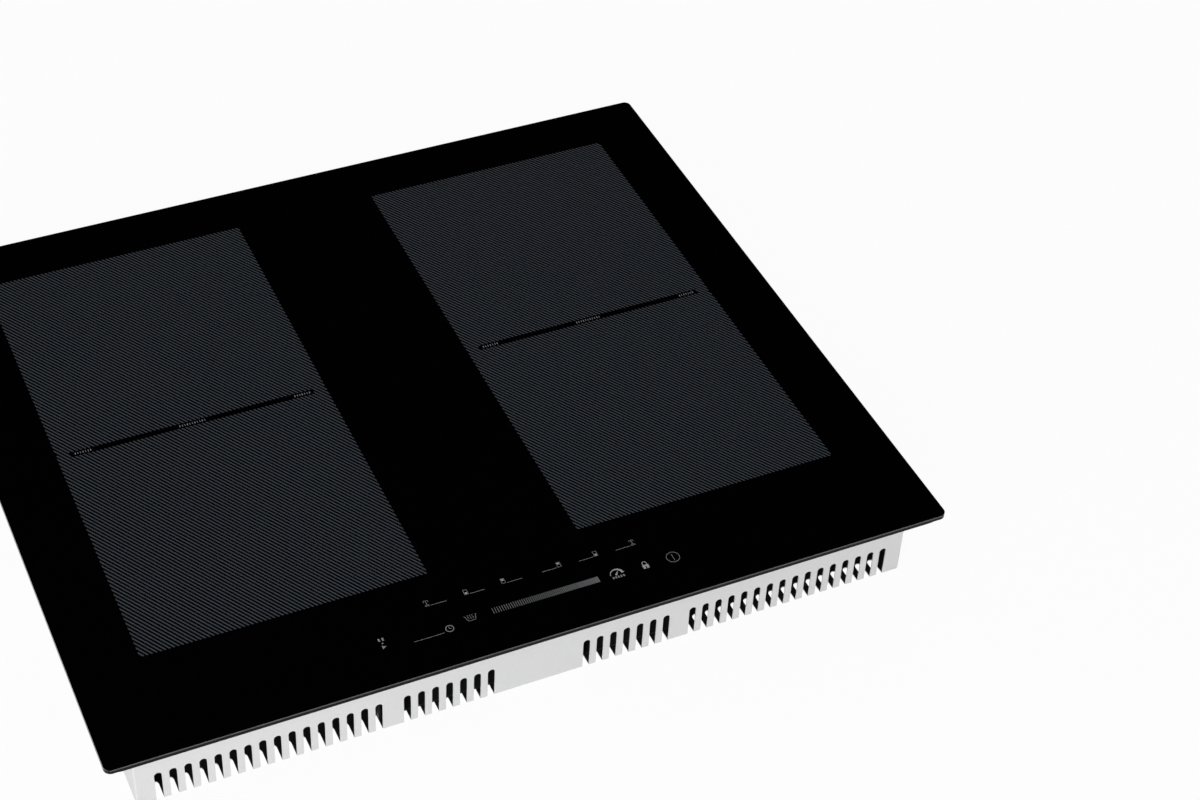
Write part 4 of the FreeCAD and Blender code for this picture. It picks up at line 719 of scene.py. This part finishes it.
silicone = grained(
    "silicone", (0.03, 0.03, 0.03), 0.45, (0.024, 0.024, 0.025), (0.038, 0.038, 0.039),
    scale=240.0, gloss=(0.38, 0.55),
)
bead_body = strip_ring(547.0, 481.0, corner=4.0, strip_width=4.0, low=58.7, high=59.5, bulge=0.4)
bead = make_piece("silicone_bead", [bead_body], silicone, smooth=True)
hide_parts("glass_adhesive")

foam = grained(
    "foam", (0.035, 0.035, 0.037), 0.85, (0.020, 0.020, 0.022), (0.052, 0.052, 0.055),
    scale=1500.0, detail=2.0, relief=0.12, specular=0.25,
)
seal_body = strip_ring(586.0, 516.0, corner=4.0, strip_width=10.0, low=56.5, high=59.5, bulge=0.22)
gasket = make_piece("foam_strip", [seal_body], foam, smooth=True)
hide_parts("sealing_gasket")

# ---- glass ----------------------------------------------------------------------------------------------
# A 4 mm plate of black glass ceramic with rounded corners. Its faces are polished and its sides finely
# ground. Along the front edge a coarser ground facet runs over into the polished top.

GLASS_TOP = 63.5
GLASS_UNDER = 59.5
FACET_LOW = 62.0
FACET_HIGH = 62.5
PRINT_RISE = 0.03


def glass_plate():
    """Rings of the outline, pulled in by a small arris at the bottom and at the top. Each ring above the
    foot of the front slope is also kept behind it: first the ground facet, then a polished curve."""
    outline, outward = rounded_outline(590.0, 520.0, 5.0)
    top = GLASS_TOP - PRINT_RISE
    slope = [FACET_LOW, FACET_HIGH, 62.95, 63.25]
    levels = np.array([GLASS_UNDER, GLASS_UNDER + 0.3, 61.9, *slope, top - 0.1, top])
    inset = np.array([0.3, 0.0, 0.0, 0.0, 0.0, 0.0, 0.0, 0.12, 0.4])
    front = np.interp(levels, [*slope, top], [-260.0, -259.5, -259.0, -258.5, -257.8])
    layers = []
    for level, pull, foremost in zip(levels, inset, front):
        flat = outline - pull * outward
        flat[:, 1] = np.maximum(flat[:, 1], foremost)
        layers.append(np.column_stack([flat, np.full(len(flat), level)]))
    return rings(np.array(layers))


black_glass, shader = finish("black_glass", (0.0006, 0.0006, 0.0007), 0.03, specular=0.5)
cloud = wander(black_glass, 9.0)
gloss_by(black_glass, shader, cloud, 0.018, 0.05)
speck = wander(black_glass, 2600.0, detail=1.0)
colour_by(black_glass, shader, speck, (0.0004, 0.0004, 0.0005), (0.0008, 0.0008, 0.0009))
glass_top = make_piece("glass_plate", [glass_plate()], black_glass)
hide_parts("glass_top")

ground_glass = grained(
    "ground_glass", (0.09, 0.09, 0.095), 0.30, (0.075, 0.076, 0.080), (0.105, 0.107, 0.112),
    scale=900.0, stretch=(0.15, 1, 1), gloss=(0.26, 0.36), relief=0.02,
)
edge_glass = grained(
    "edge_glass", (0.002, 0.002, 0.002), 0.3, (0.0012, 0.0012, 0.0013), (0.0035, 0.0035, 0.0038),
    scale=300.0, stretch=(0.3, 0.3, 1), gloss=(0.24, 0.38), specular=0.10,
)
glass_top.data.materials.append(edge_glass)
glass_top.data.materials.append(ground_glass)
middles = np.empty(len(glass_top.data.polygons) * 3)
glass_top.data.polygons.foreach_get("center", middles)
_, forward, up = middles.reshape(-1, 3).T / MM
facet = (up > FACET_LOW + 0.1) & (up < FACET_HIGH - 0.05) & (forward < -259.6)
side = (up > GLASS_UNDER + 0.1) & (up < FACET_LOW + 0.1)
glass_top.data.polygons.foreach_set("material_index", (2 * facet + side).astype(np.int32))

# ---- print on the glass ---------------------------------------------------------------------------------
# Enamel fired onto the glass: two zones of fine slanting lines with a plain bar across the middle, and the
# marks of the touch keys. It stands 0.03 mm proud of the glass.

PRINT_FOOT = GLASS_TOP - 0.08
ZONE_MIDDLE = 151.5
ZONE_WIDTH = 195.0
ZONE_BACK = 216.0
ZONE_FRONT = -178.5
BAR_HALF_WIDTH = 88.1
BAR_REAR = 20.6
BAR_FRONT = 15.6
FIELD_GAP = 0.02  # between the fields of lines, so that no two lines share an edge
SLANT = math.radians(32.5)
LINE_PITCH = 2.45
LINE_HALF = 0.52


def plates(corners):
    """Thin flat plates from their outlines, shape (plates, corners, 2): each outline just inside the glass
    and again at the print's top, joined by walls."""
    levels = (PRINT_FOOT, GLASS_TOP)
    return [rings(np.array([np.insert(outline, 2, z, 1) for z in levels])) for outline in corners]


def slanting_lines(west, east, front, rear):
    """Hatching of a rectangle: line k lies where x cos a + y sin a is within half a line of k pitches. Each
    line's two edges are cut where they enter and leave the rectangle, so the lines end on its sides."""
    across = np.array([math.cos(SLANT), math.sin(SLANT)])
    along = np.array([-math.sin(SLANT), math.cos(SLANT)])
    corners = np.array([[west, front], [east, front], [east, rear], [west, rear]])
    reach = corners @ across
    first = math.ceil((reach.min() + LINE_HALF) / LINE_PITCH)
    last = math.floor((reach.max() - LINE_HALF) / LINE_PITCH)
    middle = np.arange(first, last + 1) * LINE_PITCH
    edges = middle[:, None] + np.array([-LINE_HALF, LINE_HALF])[None, :]
    start = edges[..., None] * across
    by_x = (np.array([west, east]) - start[..., 0:1]) / along[0]
    by_y = (np.array([front, rear]) - start[..., 1:2]) / along[1]
    enter = np.maximum(by_x.min(-1), by_y.min(-1))
    leave = np.minimum(by_x.max(-1), by_y.max(-1))
    whole = (leave > enter).all(axis=1)
    low = start + enter[..., None] * along
    high = start + leave[..., None] * along
    return np.stack([low[:, 0], low[:, 1], high[:, 1], high[:, 0]], axis=1)[whole]


zone_enamel = grained(
    "zone_enamel", (0.043, 0.049, 0.058), 0.55, (0.042, 0.049, 0.059), (0.056, 0.064, 0.076),
    scale=1500.0, detail=2.0, gloss=(0.48, 0.62), specular=0.06,
)
zone_lines = []
for middle in (-ZONE_MIDDLE, ZONE_MIDDLE):
    west, east = middle - ZONE_WIDTH / 2, middle + ZONE_WIDTH / 2
    for field in (
        (west, east, BAR_REAR, ZONE_BACK),
        (west, middle - BAR_HALF_WIDTH, BAR_FRONT + FIELD_GAP, BAR_REAR - FIELD_GAP),
        (middle + BAR_HALF_WIDTH, east, BAR_FRONT + FIELD_GAP, BAR_REAR - FIELD_GAP),
        (west, east, ZONE_FRONT, BAR_FRONT),
    ):
        zone_lines += plates(slanting_lines(*field))
zone_print = make_piece("zone_print", zone_lines, zone_enamel)


def mark(points, width, closed=False):
    """A line of one width along a path: each point is moved to both sides along the normal of its path,
    lengthened at corners by one over the cosine of half the turn."""
    path = np.asarray(points, float)
    if closed:
        ahead = np.roll(path, -1, 0) - path
        behind = path - np.roll(path, 1, 0)
    else:
        steps = np.diff(path, axis=0)
        ahead = np.vstack([steps, steps[-1:]])
        behind = np.vstack([steps[:1], steps])
    ahead /= np.linalg.norm(ahead, axis=1)[:, None]
    behind /= np.linalg.norm(behind, axis=1)[:, None]
    way = ahead + behind
    way /= np.linalg.norm(way, axis=1)[:, None]
    side = np.column_stack([-way[:, 1], way[:, 0]])
    side *= (width / 2 / np.clip((way * ahead).sum(1), 0.4, 1.0))[:, None]
    left, right = path + side, path - side
    edges = ((right, PRINT_FOOT), (left, PRINT_FOOT), (left, GLASS_TOP), (right, GLASS_TOP))
    return rings(np.stack([np.insert(edge, 2, level, 1) for edge, level in edges], axis=1), loop=closed)


def arc(x, y, radius, start, end, steps=20):
    """Points of a circle's arc between two angles in degrees: centre plus radius times (cos, sin)."""
    angle = np.radians(np.linspace(start, end, steps + 1))
    return np.column_stack([x + radius * np.cos(angle), y + radius * np.sin(angle)])


def box_outline(x, y, width, height):
    """The four corners of an upright rectangle about its middle."""
    return np.array([x, y]) + np.array([[-1, -1], [1, -1], [1, 1], [-1, 1]]) * [width / 2, height / 2]


key_enamel = grained(
    "key_enamel", (0.34, 0.35, 0.36), 0.45, (0.31, 0.32, 0.33), (0.37, 0.38, 0.39),
    scale=1800.0, detail=2.0, gloss=(0.38, 0.52), specular=0.2,
)
line_enamel = grained(
    "line_enamel", (0.235, 0.240, 0.250), 0.5, (0.215, 0.220, 0.230), (0.255, 0.260, 0.270),
    scale=1800.0, detail=2.0, gloss=(0.44, 0.58), specular=0.15,
)
CURL = 0.24
HAIR = 0.27
FINE = 0.30
BOLD = 0.50
LEVEL_LINE = -206.1  # where the lines beside the coil keys lie
lines = []
solids = []

# The pause and go key: two bars, a dot and a triangle.
lines += plates([box_outline(-104.6, -222.2, 1.2, 2.6), box_outline(-102.0, -222.2, 1.2, 2.6)])
lines += plates([arc(-103.3, -225.5, 0.60, 0, 315, 7)])
lines += plates([np.array([[-104.6, -230.2], [-101.8, -228.8], [-104.6, -227.4]])])

# The timer: a line where its digits shine through, and a clock.
lines.append(mark([(-84.3, -232.1), (-63.2, -232.1)], HAIR))
lines.append(mark(arc(-58.8, -229.8, 2.65, 0, 360, 32)[:-1], BOLD, closed=True))
lines.append(mark([(-59.0, -228.0), (-59.0, -229.9), (-57.5, -229.9)], FINE))

# The keep-warm key: a pan with lips and three curls of steam.
pan = [(-47.1, -223.8), (-46.4, -224.0), (-45.9, -225.4), (-45.5, -227.4), (-44.8, -228.5)]
pan += [(-85.1 - x, y) for x, y in pan[::-1]]
lines.append(mark(pan, HAIR))
rise = np.linspace(0, 1, 13)
for x in (-44.5, -42.9, -41.3):
    sway = 0.5 * rise + 0.3 * np.sin(2 * math.pi * rise)
    lines.append(mark(np.column_stack([x + sway, -227.1 + 3.7 * rise]), CURL))

# The slider: upright bars, each gap 1.23 % narrower than the last, that grow a little thicker.
BARS = 62
FIRST_GAP = 1.745
NARROWING = 0.9877
bar_places = -27.05 + FIRST_GAP * (1 - NARROWING ** np.arange(BARS)) / (1 - NARROWING)
for x, width in zip(bar_places, np.linspace(HAIR, 0.44, BARS)):
    lines += plates([box_outline(x, -226.1, width, 5.0)])

# The full-power key: a dial that swells to the right, its needle, and five plain steps below.
DIAL_RADIUS = 4.9
turn = np.radians(np.linspace(180, 2, 23))
dial_way = np.column_stack([np.cos(turn), np.sin(turn)])
swell = 0.4 + 1.5 * np.linspace(0, 1, 23) ** 1.3
rim, inner_rim = DIAL_RADIUS * dial_way, (DIAL_RADIUS - swell)[:, None] * dial_way
solids += plates([np.array([61.7, -226.5]) + np.concatenate([rim, inner_rim[::-1]])])
solids += plates([np.concatenate([arc(60.9, -226.6, 0.75, 110, 340, 8), [(63.3, -223.7)]])])
lines += plates([box_outline(57.9 + 1.85 * k, -229.0, 1.05, 1.7) for k in range(5)])

# The lock key, with a slit in its body, and the power key.
lock_body = [(80.1, -229.0), (81.8, -229.0), (81.8, -227.0), (82.7, -227.0), (82.7, -229.0), (84.4, -229.0)]
lock_body += [(84.4, -225.6), (80.1, -225.6)]
shackle = np.concatenate([[(80.85, -225.7)], arc(82.25, -224.2, 1.4, 180, 0, 12), [(83.65, -225.7)]])
solids += plates([np.array(lock_body)])
solids.append(mark(shackle, BOLD))
lines.append(mark(arc(102.65, -226.2, 4.5, 0, 360, 40)[:-1], FINE, closed=True))
lines.append(mark([(102.65, -223.3), (102.65, -229.3)], FINE))

# One key for each coil: its half of the zone is filled, and a line shows where the level shines through.
for x, half, line_way in ((-37.4, -1, 1), (-10.9, 1, 1), (29.1, 1, -1), (55.7, -1, -1)):
    lines.append(mark(box_outline(x, -203.8, 2.5, 4.2), CURL, closed=True))
    solids += plates([box_outline(x, -203.8 + 1.0 * half, 1.6, 1.5)])
    lines.append(mark([(x + line_way * 2.3, LEVEL_LINE), (x + line_way * 12.7, LEVEL_LINE)], HAIR))

# The key that joins both coils of a zone: a stem with two curls at its head and two at its foot.
for x, line_way in ((-64.7, 1), (82.9, -1)):
    lines.append(mark([(x, -205.0), (x, -202.0)], FINE))
    for way in (-1, 1):
        angles = (0, 220) if way < 0 else (180, -40)
        lines.append(mark(arc(x + way * 0.8, -202.0, 0.8, *angles, 12), CURL))
        lines.append(mark(arc(x + way * 0.8, -205.6, 0.6, 0, 360, 14)[:-1], 0.22, closed=True))
    lines.append(mark([(x + line_way * 2.2, LEVEL_LINE), (x + line_way * 13.0, LEVEL_LINE)], HAIR))

# Small ticks at both ends and in the middle of the bar across each zone, every third a little wider.
TICK_PITCH = 1.8
BAR_MIDDLE = 18.1
for middle in (-ZONE_MIDDLE, ZONE_MIDDLE):
    for start, count in ((-84.6, 7), (-10.2, 11), (74.1, 7)):
        for k in range(count):
            tick_width = 0.42 if k % 3 else 0.62
            lines += plates([box_outline(middle + start + TICK_PITCH * k, BAR_MIDDLE, tick_width, 1.8)])
symbol_print = make_piece("symbol_print", solids, key_enamel)
line_print = make_piece("line_print", lines, line_enamel)

# ---- side clips -----------------------------------------------------------------------------------------
# Four leaves of bright spring steel that centre the cooktop in the worktop. Each bows outwards from its
# fold and narrows to a rounded tip that slides past the edge of the cut-out.

CLIP_Y = 140.0
CASING_SIDE = 275.0
LEAF_HALF = 0.4
LEAF_TOP = 42.8
LEAF_LENGTH = 30.0
spring_steel = grained(
    "spring_steel", (0.60, 0.60, 0.61), 0.3, (0.52, 0.52, 0.53), (0.68, 0.68, 0.69),
    scale=700.0, stretch=(1, 1, 0.06), detail=3.0, gloss=(0.22, 0.38), metallic=1.0,
)


def leaf(side, row):
    """The leaf on a grid of s down and four corners round: the line x = 0.4 + 5.5 (1 - cos 2 pi s) / 2 to
    the belly, then in by 2.3 the same way to the tip; half the width is 8 less 2.5 s cubed, rounded off at
    the tip, and half the thickness 0.4."""
    tip = 0.95
    in_tip = 0.05 * np.sin(np.linspace(0, math.pi / 2, 7)[1:])
    s = np.concatenate([np.linspace(0, tip, 24), tip + in_tip])
    rise = (1 - np.cos(2 * math.pi * s)) / 2
    x = np.where(s < 0.5, 0.4 + 5.5 * rise, 3.6 + 2.3 * rise)
    rounding = 2.2 * (1 - np.sqrt(1 - np.clip((s - tip) / 0.05, 0, 0.999) ** 2))
    half = 8.0 - 2.5 * s**3 - rounding
    z = LEAF_TOP - LEAF_LENGTH * s
    corners = []
    for across, out in ((-1, -LEAF_HALF), (1, -LEAF_HALF), (1, LEAF_HALF), (-1, LEAF_HALF)):
        corners.append(np.column_stack([side * (CASING_SIDE + x + out), row * CLIP_Y + across * half, z]))
    return rings(np.stack(corners, axis=1))


for side_name, side in (("left", -1), ("right", 1)):
    for row_name, row in (("rear", 1), ("front", -1)):
        name = f"side_clip_{row_name}_{side_name}"
        bow = leaf(side, row)
        spring = make_piece(f"spring_leaf_{row_name}_{side_name}", [bow], spring_steel, body=name)
        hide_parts(name)

# ---- casing screws --------------------------------------------------------------------------------------
# Six zinc-plated hex screws with a flange under the head hold the tray, the clips and the frame together.

screw_zinc = grained(
    "screw_zinc", (0.66, 0.66, 0.62), 0.3, (0.56, 0.56, 0.50), (0.72, 0.72, 0.70),
    scale=500.0, gloss=(0.22, 0.38), metallic=1.0,
)


def screw_head():
    """Rings of the head: a round flange, then a hexagon whose radius is 2.5 over the cosine of the angle
    from the middle of its nearest side, trimmed by a cone near the top, and a shallow dish in the end."""
    angle = np.linspace(0, 2 * math.pi, 48, endpoint=False)
    hexagon = 2.5 / np.cos((angle + math.pi / 6) % (math.pi / 3) - math.pi / 6)
    flange = [(0.2, 0.0), (3.3, 0.0), (3.4, 0.25), (3.1, 0.5)]
    flats = [(hexagon, 0.55), (hexagon, 1.75), (np.minimum(hexagon, 2.62), 2.0)]
    dish = [(1.9, 2.0), (1.6, 1.75), (0.2, 1.75)]
    round_about = np.column_stack([np.cos(angle), np.sin(angle)])
    layers = [
        np.insert(np.reshape(radius * np.ones(48), (-1, 1)) * round_about, 2, level, 1)
        for radius, level in flange + flats + dish
    ]
    return rings(np.array(layers))


def screw_shank():
    """A threaded shank on a grid of length and angle: its radius runs from 1.3 to 1.6 and back once for
    each 0.9 mm of length, shifted by the angle, and is drawn in towards the end."""
    angle = np.linspace(0, 2 * math.pi, 18, endpoint=False)
    length = np.linspace(0.1, -6.0, 62)
    wave = (length[:, None] / 0.9 - angle[None, :] / (2 * math.pi)) % 1.0
    taper = np.clip((length + 6.0) / 0.8, 0.45, 1.0)[:, None]
    radius = (1.3 + 0.3 * np.abs(2 * wave - 1)) * taper
    x, y = radius * np.cos(angle), radius * np.sin(angle)
    return rings(np.stack([x, y, np.broadcast_to(length[:, None], x.shape)], axis=2))


SCREW_LEVEL = 51.0
PLATE_SIDE = 275.8  # the clips' plates lie 0.8 mm proud of the casing
REAR_SCREW_X = 200.0
CASING_BACK = 242.0
screw_bodies = []
seats = [((side * PLATE_SIDE, row * CLIP_Y, SCREW_LEVEL), (side, 0)) for side in (-1, 1) for row in (-1, 1)]
seats += [((side * REAR_SCREW_X, CASING_BACK, SCREW_LEVEL), (0, 1)) for side in (-1, 1)]
for seat, (east, north) in seats:
    axes = np.array([(-north, east, 0), (0, 0, 1), (east, north, 0)], float)
    for points, faces, on_map in (screw_head(), screw_shank()):
        screw_bodies.append((np.array(seat) + points @ axes, faces, on_map))
screws = make_piece("hex_screws", screw_bodies, screw_zinc)
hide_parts("casing_screws")
